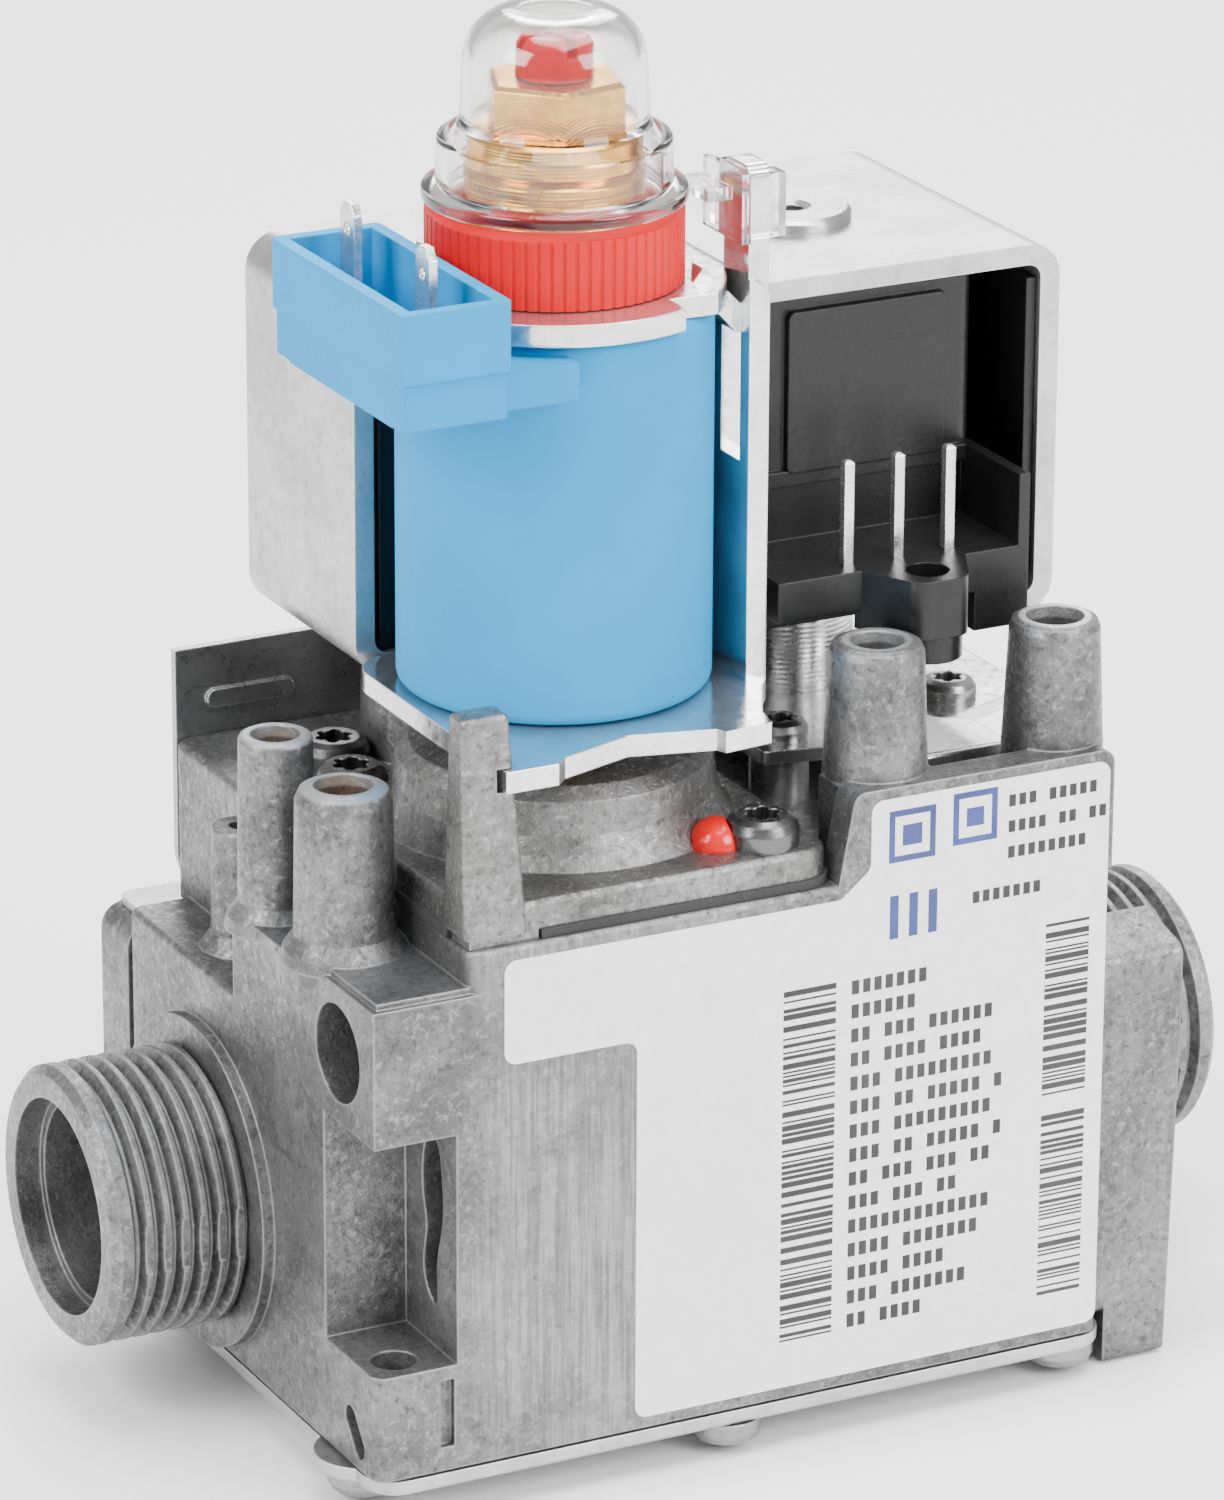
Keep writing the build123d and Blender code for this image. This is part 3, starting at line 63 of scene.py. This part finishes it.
# ---------------------------------------------------------------- node helpers
class Shader:
    """A Principled material with short calls for the nodes that the finishes share."""

    def __init__(self, name, colour, roughness, metallic=0.0, **sockets):
        self.material = bpy.data.materials.new(name)
        self.material.use_nodes = True
        self.tree = self.material.node_tree
        self.bsdf = self.tree.nodes["Principled BSDF"]
        self.bsdf.inputs["Base Color"].default_value = (*colour, 1.0)
        self.bsdf.inputs["Roughness"].default_value = roughness
        self.bsdf.inputs["Metallic"].default_value = metallic
        for socket, value in sockets.items():
            self.bsdf.inputs[socket.replace("_", " ")].default_value = value
        self.coordinates = self.tree.nodes.new("ShaderNodeTexCoord").outputs["Object"]

    def link(self, source, target):
        self.tree.links.new(source, target)

    def node(self, kind, **settings):
        made = self.tree.nodes.new(kind)
        for key, value in settings.items():
            setattr(made, key, value)
        return made

    def split(self, vector=None):
        """The X, Y and Z outputs of a place on the piece."""
        made = self.node("ShaderNodeSeparateXYZ")
        self.link(vector or self.coordinates, made.inputs["Vector"])
        return made.outputs

    def stretch(self, x, y, z):
        mapping = self.node("ShaderNodeMapping")
        mapping.inputs["Scale"].default_value = (x, y, z)
        self.link(self.coordinates, mapping.inputs["Vector"])
        return mapping.outputs["Vector"]

    def noise(self, scale, detail, roughness=0.55, vector=None, distortion=0.0):
        made = self.node("ShaderNodeTexNoise")
        made.inputs["Scale"].default_value = scale
        made.inputs["Detail"].default_value = detail
        made.inputs["Roughness"].default_value = roughness
        made.inputs["Distortion"].default_value = distortion
        self.link(vector or self.coordinates, made.inputs["Vector"])
        return made.outputs["Fac"]

    def math(self, operation, a, b=0.0):
        made = self.node("ShaderNodeMath", operation=operation)
        for socket, value in zip(made.inputs, (a, b)):
            if isinstance(value, (int, float)):
                socket.default_value = value
            else:
                self.link(value, socket)
        return made.outputs["Value"]

    def hypotenuse(self, a, b):
        squares = (self.math("MULTIPLY", side, side) for side in (a, b))
        return self.math("SQRT", self.math("ADD", *squares))

    def remap(self, value, low, high, to_low=0.0, to_high=1.0):
        made = self.node("ShaderNodeMapRange", interpolation_type="SMOOTHSTEP")
        for name, number in (("From Min", low), ("From Max", high), ("To Min", to_low), ("To Max", to_high)):
            made.inputs[name].default_value = number
        self.link(value, made.inputs["Value"])
        return made.outputs["Result"]

    def mix(self, factor, a, b):
        made = self.node("ShaderNodeMix", data_type="RGBA")
        factor_in, a_in, b_in = made.inputs[0], made.inputs[6], made.inputs[7]
        for socket, value in ((factor_in, factor), (a_in, a), (b_in, b)):
            if isinstance(value, tuple):
                socket.default_value = (*value, 1.0)
            else:
                self.link(value, socket)
        return made.outputs[2]

    def edges(self, radius):
        """1 along edges and 0 on flat faces, from how far a rounded normal turns from the true one."""
        flat, sharp = 0.995, 0.80
        bevel = self.node("ShaderNodeBevel", samples=6)
        bevel.inputs["Radius"].default_value = radius
        geometry = self.node("ShaderNodeNewGeometry")
        dot = self.node("ShaderNodeVectorMath", operation="DOT_PRODUCT")
        self.link(bevel.outputs["Normal"], dot.inputs[0])
        self.link(geometry.outputs["Normal"], dot.inputs[1])
        return self.remap(dot.outputs["Value"], flat, sharp)

    def bump(self, height, distance, strength, round_edges=0.0):
        made = self.node("ShaderNodeBump")
        made.inputs["Strength"].default_value = strength
        made.inputs["Distance"].default_value = distance
        self.link(height, made.inputs["Height"])
        if round_edges:
            bevel = self.node("ShaderNodeBevel", samples=4)
            bevel.inputs["Radius"].default_value = round_edges
            self.link(bevel.outputs["Normal"], made.inputs["Normal"])
        self.link(made.outputs["Normal"], self.bsdf.inputs["Normal"])

    def colour(self, source):
        self.link(source, self.bsdf.inputs["Base Color"])

    def roughness(self, source):
        self.link(source, self.bsdf.inputs["Roughness"])


def grey(value, warmth=0.0):
    return (value * (1 + warmth), value, value * (1 - warmth))


def pale_grey(value, warmth=0.0):
    return grey(min(1.0, value), warmth)


def scaled(colour, factor, lift=0.0):
    return tuple(min(1.0, c * factor + lift) for c in colour)


# ---------------------------------------------------------------- places of the finishes
MODULATOR = (42.8 * MM, -16.5 * MM)
MAIN_COIL = (76.2 * MM, 1.4 * MM)
INLET_TAP = (18.5 * MM, -9 * MM)
# The ground patch on the front face: where it fades in and out along X, and where the face starts in Y,
# in metres
PATCH_LEFT, PATCH_RIGHT = (0.022, 0.029), (0.050, 0.041)
PATCH_FACE = (-0.0364, -0.0370)
# Upright mouths of the two taps and two tapped bosses: x, y, height and radius in millimetres
MOUTHS = (
    (18.9, -22.6, 46.0, 3.9), (18.5, -9.0, 46.4, 3.2),
    (67.9, -31.4, 54.7, 3.1), (86.4, -31.4, 54.2, 3.3),
)


# ---------------------------------------------------------------- finishes
def ground_patch(s, place, base):
    """The patch's mask with a ragged edge, the strokes in it and their colour."""
    wave = s.math("MULTIPLY", s.math("SUBTRACT", s.noise(70, detail=3), 0.5), 0.02)
    across = s.math("ADD", place["X"], wave)
    mask = s.math("MULTIPLY", s.remap(across, *PATCH_LEFT), s.remap(across, *PATCH_RIGHT))
    mask = s.math("MULTIPLY", mask, s.remap(place["Y"], *PATCH_FACE))
    mask = s.math("MULTIPLY", mask, s.remap(s.noise(60, detail=5, roughness=0.7), 0.36, 0.54, 0.15, 1.0))
    fine = s.noise(1.0, detail=4, roughness=0.7, vector=s.stretch(3400, 3400, 110))
    broad = s.noise(1.0, detail=3, roughness=0.6, vector=s.stretch(1300, 1300, 60))
    strokes = s.math("ADD", s.math("MULTIPLY", fine, 0.6), s.math("MULTIPLY", broad, 0.4))
    bright = s.mix(s.remap(strokes, 0.40, 0.60), grey(base * 1.05), pale_grey(base * 2.3))
    return mask, strokes, bright


def machined_rim(s, place, x, y, z, r):
    """1 on the last millimetre of an upright mouth, and 0 elsewhere; sizes in millimetres."""
    dx = s.math("SUBTRACT", place["X"], x * MM)
    dy = s.math("SUBTRACT", place["Y"], y * MM)
    away = s.hypotenuse(dx, dy)
    inside = s.remap(away, (r + 0.25) * MM, (r - 0.1) * MM)
    return s.math("MULTIPLY", inside, s.remap(place["Z"], (z - 1.3) * MM, (z - 0.9) * MM))


def casting(name, base, ground=False, warmth=0.0, rough_shift=0.0):
    """Die-cast zinc: cloudy grey with dark flow marks, pale worn edges and a coarse sparkling skin."""
    s = Shader(name, grey(base), roughness=0.4, metallic=0.8)
    cloud = s.noise(75, detail=6, roughness=0.66)
    blotch = s.noise(230, detail=6, roughness=0.72, distortion=0.8)
    crystal = s.noise(1250, detail=5, roughness=0.75, distortion=0.5)
    speck = s.noise(2600, detail=3, roughness=0.65)
    tone = s.mix(s.remap(cloud, 0.34, 0.68), grey(base * 0.66, warmth), grey(base * 1.35, warmth * 0.5))
    tone = s.mix(s.remap(blotch, 0.50, 0.66, 0.0, 0.6), tone, grey(base * 0.46, warmth))
    tone = s.mix(s.remap(crystal, 0.47, 0.36, 0.0, 0.5), tone, pale_grey(base * 2.3, warmth * 0.5))
    tone = s.mix(s.remap(crystal, 0.53, 0.66, 0.0, 0.75), tone, grey(base * 0.34, warmth))
    tone = s.mix(s.remap(speck, 0.62, 0.76, 0.0, 0.6), tone, grey(base * 0.3, warmth))
    height = s.math("ADD", s.math("MULTIPLY", crystal, 0.7), s.math("MULTIPLY", speck, 0.3))
    if ground:
        place = s.split()
        mask, strokes, bright = ground_patch(s, place, base)
        tone = s.mix(s.math("MULTIPLY", mask, 0.6), tone, bright)
        for mouth in MOUTHS:
            rim = machined_rim(s, place, *mouth)
            tone = s.mix(s.math("MULTIPLY", rim, 0.7), tone, pale_grey(base * 3.2))
        height = s.math("ADD", height, s.math("MULTIPLY", s.math("MULTIPLY", strokes, mask), 0.8))
    worn = s.math("MULTIPLY", s.edges(0.45 * MM), s.remap(crystal, 0.34, 0.56, 0.25, 1.0))
    s.colour(s.mix(s.math("MULTIPLY", worn, 0.7), tone, pale_grey(base * 2.6)))
    s.roughness(s.remap(crystal, 0.3, 0.7, 0.30 + rough_shift, 0.50 + rough_shift))
    s.bump(height, distance=0.22 * MM, strength=0.6, round_edges=0.3 * MM)
    return s.material


def plated(name, base, roughness, edge=0.9, rough_skin=0.10):
    """Zinc-plated steel: satin with a faint cloudy grain, small dark pits and pale rough cut edges."""
    s = Shader(name, grey(base), roughness, metallic=0.92)
    cloud = s.noise(120, detail=5, roughness=0.6)
    fine = s.noise(1.0, detail=4, roughness=0.65, vector=s.stretch(900, 900, 900))
    pits = s.noise(1700, detail=3, roughness=0.6)
    tone = s.mix(s.remap(cloud, 0.35, 0.68), grey(base * 0.84), pale_grey(base * 1.08))
    tone = s.mix(s.remap(fine, 0.52, 0.72, 0.0, 0.4), tone, grey(base * 0.55))
    tone = s.mix(s.remap(pits, 0.63, 0.75, 0.0, 0.5), tone, grey(base * 0.35))
    broken = s.math("MULTIPLY", s.edges(0.35 * MM), s.remap(fine, 0.35, 0.5, 0.4, 1.0))
    s.colour(s.mix(s.math("MULTIPLY", broken, 0.8), tone, pale_grey(max(edge, base))))
    s.roughness(s.remap(fine, 0.3, 0.7, roughness - 0.06, roughness + 0.10))
    s.bump(fine, distance=rough_skin * MM, strength=0.4, round_edges=0.25 * MM)
    return s.material


def turned(name, colour, centre, roughness, ring=0.35):
    """Turned metal: fine rings about an upright axis, with slight tarnish."""
    s = Shader(name, colour, roughness, metallic=1.0)
    shift = s.node("ShaderNodeMapping")
    shift.inputs["Location"].default_value = (-centre[0], -centre[1], 0.0)
    s.link(s.coordinates, shift.inputs["Vector"])
    place = s.split(shift.outputs["Vector"])
    radius = s.hypotenuse(place["X"], place["Y"])
    turns = 2 * math.pi / (ring * MM)
    rings = s.math("SINE", s.math("MULTIPLY", s.math("ADD", radius, place["Z"]), turns))
    tarnish = s.noise(420, detail=5, roughness=0.65)
    s.colour(s.mix(s.remap(tarnish, 0.36, 0.66), scaled(colour, 0.84), scaled(colour, 1.15)))
    s.roughness(s.remap(tarnish, 0.3, 0.7, roughness + 0.12, roughness - 0.04))
    s.bump(rings, distance=0.012 * MM, strength=0.5, round_edges=0.15 * MM)
    return s.material


def plastic(name, colour, roughness, grain=0.02, variation=0.12, **sockets):
    """Moulded plastic: even colour with faint flow shading, a fine grain and a painted highlight along the
    edges.
    """
    s = Shader(name, colour, roughness, **sockets)
    flow = s.noise(60, detail=3, roughness=0.5, distortion=0.4)
    skin = s.noise(2400, detail=2, roughness=0.5)
    tone = s.mix(s.remap(flow, 0.35, 0.65), scaled(colour, 1 - variation), scaled(colour, 1 + variation))
    # Edges are lightened towards 1.5 times the colour: a painted highlight where rounded edges would catch
    # the light
    s.colour(s.mix(s.math("MULTIPLY", s.edges(0.25 * MM), 0.35), tone, scaled(colour, 1.5, 0.015)))
    s.roughness(s.remap(skin, 0.3, 0.7, roughness - 0.05, roughness + 0.07))
    s.bump(skin, distance=grain * MM, strength=0.35, round_edges=0.25 * MM)
    return s.material


def clear(name):
    """Clear moulding with a faint milky flow."""
    s = Shader(name, (0.96, 0.97, 0.97), roughness=0.06, IOR=1.46, Transmission_Weight=1.0)
    flow = s.noise(180, detail=3, roughness=0.5)
    s.roughness(s.remap(flow, 0.35, 0.7, 0.03, 0.14))
    s.bump(flow, distance=0.05 * MM, strength=0.2)
    return s.material


def film(name):
    """Printed label film: off-white with a faint fibre and handling marks."""
    s = Shader(name, (0.80, 0.80, 0.79), roughness=0.34)
    fibre = s.noise(900, detail=4, roughness=0.6)
    smudge = s.noise(55, detail=4, roughness=0.6)
    tone = s.mix(s.remap(fibre, 0.4, 0.65, 0.0, 0.5), (0.82, 0.82, 0.81), (0.76, 0.76, 0.75))
    s.colour(s.mix(s.remap(smudge, 0.50, 0.72, 0.0, 0.4), tone, (0.70, 0.70, 0.69)))
    s.roughness(s.remap(smudge, 0.3, 0.7, 0.28, 0.44))
    s.bump(fibre, distance=0.01 * MM, strength=0.3)
    return s.material


def wound(name, colour):
    """Enamelled wire laid side by side, one turn above another, with painted shade in the grooves between
    turns.
    """
    wire = 0.25 * MM
    s = Shader(name, colour, roughness=0.28, metallic=0.85)
    turns = s.math("SINE", s.math("MULTIPLY", s.split()["Z"], 2 * math.pi / wire))
    # Painted shade: the colour darkens to 0.4 of itself in the grooves between turns
    s.colour(s.mix(s.remap(turns, -1.0, 0.4), scaled(colour, 0.4), colour))
    s.bump(turns, distance=0.05 * MM, strength=0.8)
    return s.material


BRASS = (0.76, 0.38, 0.07)
STEEL = (0.50, 0.50, 0.50)
sheet_steel = plated("sheet_steel", base=0.50, roughness=0.36)
bracket_steel = plated("bracket_steel", base=0.74, roughness=0.16, rough_skin=0.03)
screw_steel = plated("screw_steel", base=0.30, roughness=0.30, edge=0.6)
blue = plastic("blue_plastic", (0.0, 0.25, 0.52), roughness=0.6, variation=0.04, Specular_IOR_Level=0.12)
black = plastic(
    "black_plastic", (0.006, 0.006, 0.0065), roughness=0.34, grain=0.05, variation=0.25,
    Specular_IOR_Level=0.35,
)
red = plastic("red_plastic", (0.58, 0.0, 0.003), roughness=0.42, variation=0.08, Specular_IOR_Level=0.25)

FINISHES = (
    (casting("zinc_body", base=0.16, ground=True), ("valve_body",)),
    (casting("zinc_cover", base=0.17, warmth=0.02, rough_shift=-0.08), ("regulator_cover",)),
    (casting("zinc_rear", base=0.16), ("rear_cover",)),
    (sheet_steel, ("bottom_cover", "solenoid_frame")),
    (plated("dull_sheet", base=0.34, roughness=0.30, edge=0.7, rough_skin=0.04), ("heat_shield",)),
    (bracket_steel, ("modulator_bracket", "core_clamp_plate")),
    (plated("cover_screw_steel", base=0.13, roughness=0.28, edge=0.4), ("regulator_cover_screws",)),
    (screw_steel, ("bottom_cover_screws", "rear_cover_screws", "core_clamp_screws")),
    (plated("oxide_steel", base=0.06, roughness=0.36, edge=0.2), ("tower_screws",)),
    (plated("tinned", base=0.72, roughness=0.22), (
        "connector_pins", "modulator_terminals", "inlet_strainer",
    )),
    (plated("wire_steel", base=0.5, roughness=0.25), (
        "regulator_spring", "modulator_spring", "main_spring", "servo_spring",
    )),
    (turned("brass_turned", BRASS, MODULATOR, roughness=0.2), ("core_tube", "max_adjuster")),
    (turned("screw_brass", BRASS, INLET_TAP, roughness=0.3), ("inlet_test_screw", "outlet_test_screw")),
    (turned("steel_turned", STEEL, MAIN_COIL, roughness=0.24, ring=0.5), (
        "main_core_tube", "servo_core_tube", "main_core_screw", "main_plunger", "servo_plunger",
        "modulator_armature", "regulator_poppet",
    )),
    (blue, ("modulator_coil",)),
    (black, ("solenoid_moulding",)),
    (clear("clear_moulding"), ("clear_cap",)),
    (red, ("lock_ring", "min_adjuster")),
    (plastic("lacquer", (0.68, 0.004, 0.003), roughness=0.12, grain=0.01, variation=0.2), ("seal_lacquer",)),
    (plastic("rubber", (0.02, 0.02, 0.021), roughness=0.7, grain=0.05, variation=0.3), (
        "bottom_gasket", "regulator_diaphragm", "regulator_seal", "main_valve_disc", "servo_valve_disc",
    )),
    (wound("copper_wire", (0.55, 0.22, 0.09)), ("modulator_winding", "main_winding", "servo_winding")),
    (film("label_film"), ("rating_label",)),
)
for material, names in FINISHES:
    for name in names:
        slots = nodes[name].data.materials
        slots.clear()
        slots.append(material)

# ---------------------------------------------------------------- springs
# Each spring gets a mesh of its own. Columns: the spring, the joint of the part that presses on it, and that
# part's travel in millimetres; the joint and the travel are not used here
SPRINGS = (
    ("regulator_spring", "regulator_slide", 1.7), ("modulator_spring", "armature_slide", 1.7),
    ("main_spring", "main_valve_slide", 2.4), ("servo_spring", "servo_valve_slide", 1.8),
)
for spring, joint, travel in SPRINGS:
    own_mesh(nodes[spring])

# ---------------------------------------------------------------- label print
# LABEL_Y is in metres, like the frame; the print's own sizes are in millimetres
LABEL_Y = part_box("rating_label")[0].y
INK_THICK, INK_MIDDLE = 0.02, 0.008
BAR_WIDTHS, BAR_GAPS = (0.18, 0.18, 0.36, 0.55), (0.18, 0.22, 0.4, 0.6)
LEFT_BARS_X, RIGHT_BARS_X = (55.6, 61.0), (82.8, 87.4)
TYPE_X, TYPE_TOP, TYPE_STEP = 62.6, 24.0, 2.36
TYPE_HEIGHT, TYPE_PITCH = 1.35, 1.16
HEAD_HEIGHT, HEAD_PITCH = 1.15, 1.06
BLOCK_SHARE = 0.66
MARK_LINE = 0.6


def print_piece(name, boxes, material):
    """Thin ink blocks on the label's face, from (x0, x1, z0, z1) in millimetres."""
    bm = bmesh.new()
    for x0, x1, z0, z1 in boxes:
        size = Matrix.Diagonal(((x1 - x0) * MM, INK_THICK * MM, (z1 - z0) * MM, 1.0))
        middle_y = LABEL_Y - INK_MIDDLE * MM
        place = Matrix.Translation(((x0 + x1) / 2 * MM, middle_y, (z0 + z1) / 2 * MM))
        bmesh.ops.create_cube(bm, size=1.0, matrix=place @ size)
    mesh = bpy.data.meshes.new(name)
    bm.to_mesh(mesh)
    bm.free()
    piece = bpy.data.objects.new(name, mesh)
    bpy.context.scene.collection.objects.link(piece)
    mesh.materials.append(material)
    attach(piece, "valve")


def ladder(span, z0, z1, seed):
    """Bars of uneven width stacked upwards."""
    dice = random.Random(seed)
    bars, z = [], z0
    while z < z1:
        width = dice.choice(BAR_WIDTHS)
        bars.append((*span, z, min(z + width, z1)))
        z += width + dice.choice(BAR_GAPS)
    return bars


def line_blocks(x, z, letters, height, pitch):
    """Blank blocks in place of a line of small type; a space in letters leaves a gap."""
    return [
        (x + i * pitch, x + i * pitch + pitch * BLOCK_SHARE, z - height / 2, z + height / 2)
        for i, letter in enumerate(letters) if letter != " "
    ]


def square_mark(x0, x1, z0, z1, heart):
    """A square drawn in four strokes, with a solid heart."""
    return [
        (x0, x1, z0, z0 + MARK_LINE), (x0, x1, z1 - MARK_LINE, z1),
        (x0, x0 + MARK_LINE, z0 + MARK_LINE, z1 - MARK_LINE),
        (x1 - MARK_LINE, x1, z0 + MARK_LINE, z1 - MARK_LINE), heart,
    ]


ink = plastic("label_ink", (0.02, 0.02, 0.022), roughness=0.5, variation=0.4)
blue_ink = plastic("label_blue_ink", (0.03, 0.05, 0.22), roughness=0.45, variation=0.3)
print_piece("label_bars_left", ladder(LEFT_BARS_X, -9.8, 25.2, seed=3), ink)
right_bars = ladder(RIGHT_BARS_X, -10.6, 8.0, seed=5) + ladder(RIGHT_BARS_X, 9.6, 26.6, seed=8)
print_piece("label_bars_right", right_bars, ink)

# One letter stands for one blank block
ROWS = (
    "nnnnnnn", "nnnnnn", "nn nnn nnnnnn", "nn nnnn nnnn", "nnn nnnnnnnnn", "nnn nn nnnnn n", "nnn nnnnnnnnn",
    "nnn nn nnnnn n", "nn nnn nnn nn", "nnn nnn nn", "nnnnnnnnnnnnn", "nnnn nnnnnnn", "nnnn nnnn",
    "nnn nnnnnnn", "nn nnnn",
)
HEAD_ROWS = (
    (78.6, 39.4, "nnn nnnnn"), (78.6, 36.9, "nnnn nn nn"), (78.6, 34.4, "nnnnnnnn"), (75.0, 30.6, "nnnnnnn"),
)
small_type = []
for i, row in enumerate(ROWS):
    small_type += line_blocks(TYPE_X, TYPE_TOP - TYPE_STEP * i, row, TYPE_HEIGHT, TYPE_PITCH)
for x, z, row in HEAD_ROWS:
    small_type += line_blocks(x, z, row, HEAD_HEIGHT, HEAD_PITCH)
print_piece("label_type", small_type, ink)

marks = square_mark(66.2, 71.0, 35.4, 40.4, heart=(67.6, 69.6, 36.9, 38.9))
marks += square_mark(72.8, 77.4, 36.0, 41.0, heart=(74.2, 76.0, 37.6, 39.4))
marks += [(x, x + 0.9, 28.0, 32.2) for x in (66.4, 68.4, 70.4)]
print_piece("label_marks", marks, blue_ink)

# ---------------------------------------------------------------- floor, light and camera
FLOOR_SIZE, FLOOR_MIDDLE_X, FLOOR_GAP = 8.0, 0.06, 0.0002
AMBIENT = 0.8
LENS = 182.2032
CAMERA_AT = (-0.2469, -0.5945, 0.2821)
CAMERA_AZIMUTH, CAMERA_ELEVATION, CAMERA_ROLL = -27.09, 20.27, 0.26

bpy.ops.mesh.primitive_plane_add(size=FLOOR_SIZE, location=(FLOOR_MIDDLE_X, 0.0, cad_low.z - FLOOR_GAP))
floor = bpy.context.object
floor.name = "floor"
pale = Shader("floor_pale", (0.93, 0.93, 0.93), roughness=0.85)
pale.colour(pale.mix(pale.remap(pale.noise(4, detail=3), 0.3, 0.7), (0.92, 0.92, 0.92), (0.94, 0.94, 0.94)))
floor.data.materials.append(pale.material)

middle = (cad_low + cad_high) / 2


def towards(azimuth, elevation):
    """Unit vector from the object to a viewer at these angles, in degrees."""
    a, e = math.radians(azimuth), math.radians(elevation)
    return Vector((math.sin(a) * math.cos(e), -math.cos(a) * math.cos(e), math.sin(e)))


def softbox(name, azimuth, elevation, distance, size, power):
    """A square area light that faces the object."""
    lamp = bpy.data.lights.new(name, "AREA")
    lamp.shape, lamp.size, lamp.energy = "SQUARE", size, power
    made = bpy.data.objects.new(name, lamp)
    bpy.context.scene.collection.objects.link(made)
    away = towards(azimuth, elevation)
    made.location = middle + away * distance
    made.rotation_euler = (-away).to_track_quat("-Z", "Y").to_euler()


softbox("key", azimuth=-80, elevation=34, distance=0.9, size=0.45, power=10.0)
softbox("front", azimuth=25, elevation=28, distance=1.0, size=0.5, power=11.0)
softbox("top", azimuth=30, elevation=82, distance=0.9, size=0.7, power=15.0)
softbox("rim", azimuth=150, elevation=35, distance=1.0, size=0.5, power=9.0)

world = bpy.data.worlds.new("studio")
bpy.context.scene.world = world
world.use_nodes = True
sky = world.node_tree.nodes["Background"]
sky.inputs["Color"].default_value = (1.0, 1.0, 1.0, 1.0)
sky.inputs["Strength"].default_value = AMBIENT

camera = bpy.data.cameras.new("camera")
camera.sensor_width = 36.0
camera.lens = LENS
camera.clip_start, camera.clip_end = 0.05, 20.0
eye = bpy.data.objects.new("camera", camera)
bpy.context.scene.collection.objects.link(eye)
back = towards(CAMERA_AZIMUTH, CAMERA_ELEVATION)
level = (-back).cross(Vector((0, 0, 1))).normalized()
upright = level.cross(-back)
roll = math.radians(CAMERA_ROLL)
right = math.cos(roll) * level + math.sin(roll) * upright
up = -math.sin(roll) * level + math.cos(roll) * upright
turn = Matrix((right, up, back)).transposed().to_4x4()
eye.matrix_world = Matrix.Translation(CAMERA_AT) @ turn
bpy.context.scene.camera = eye
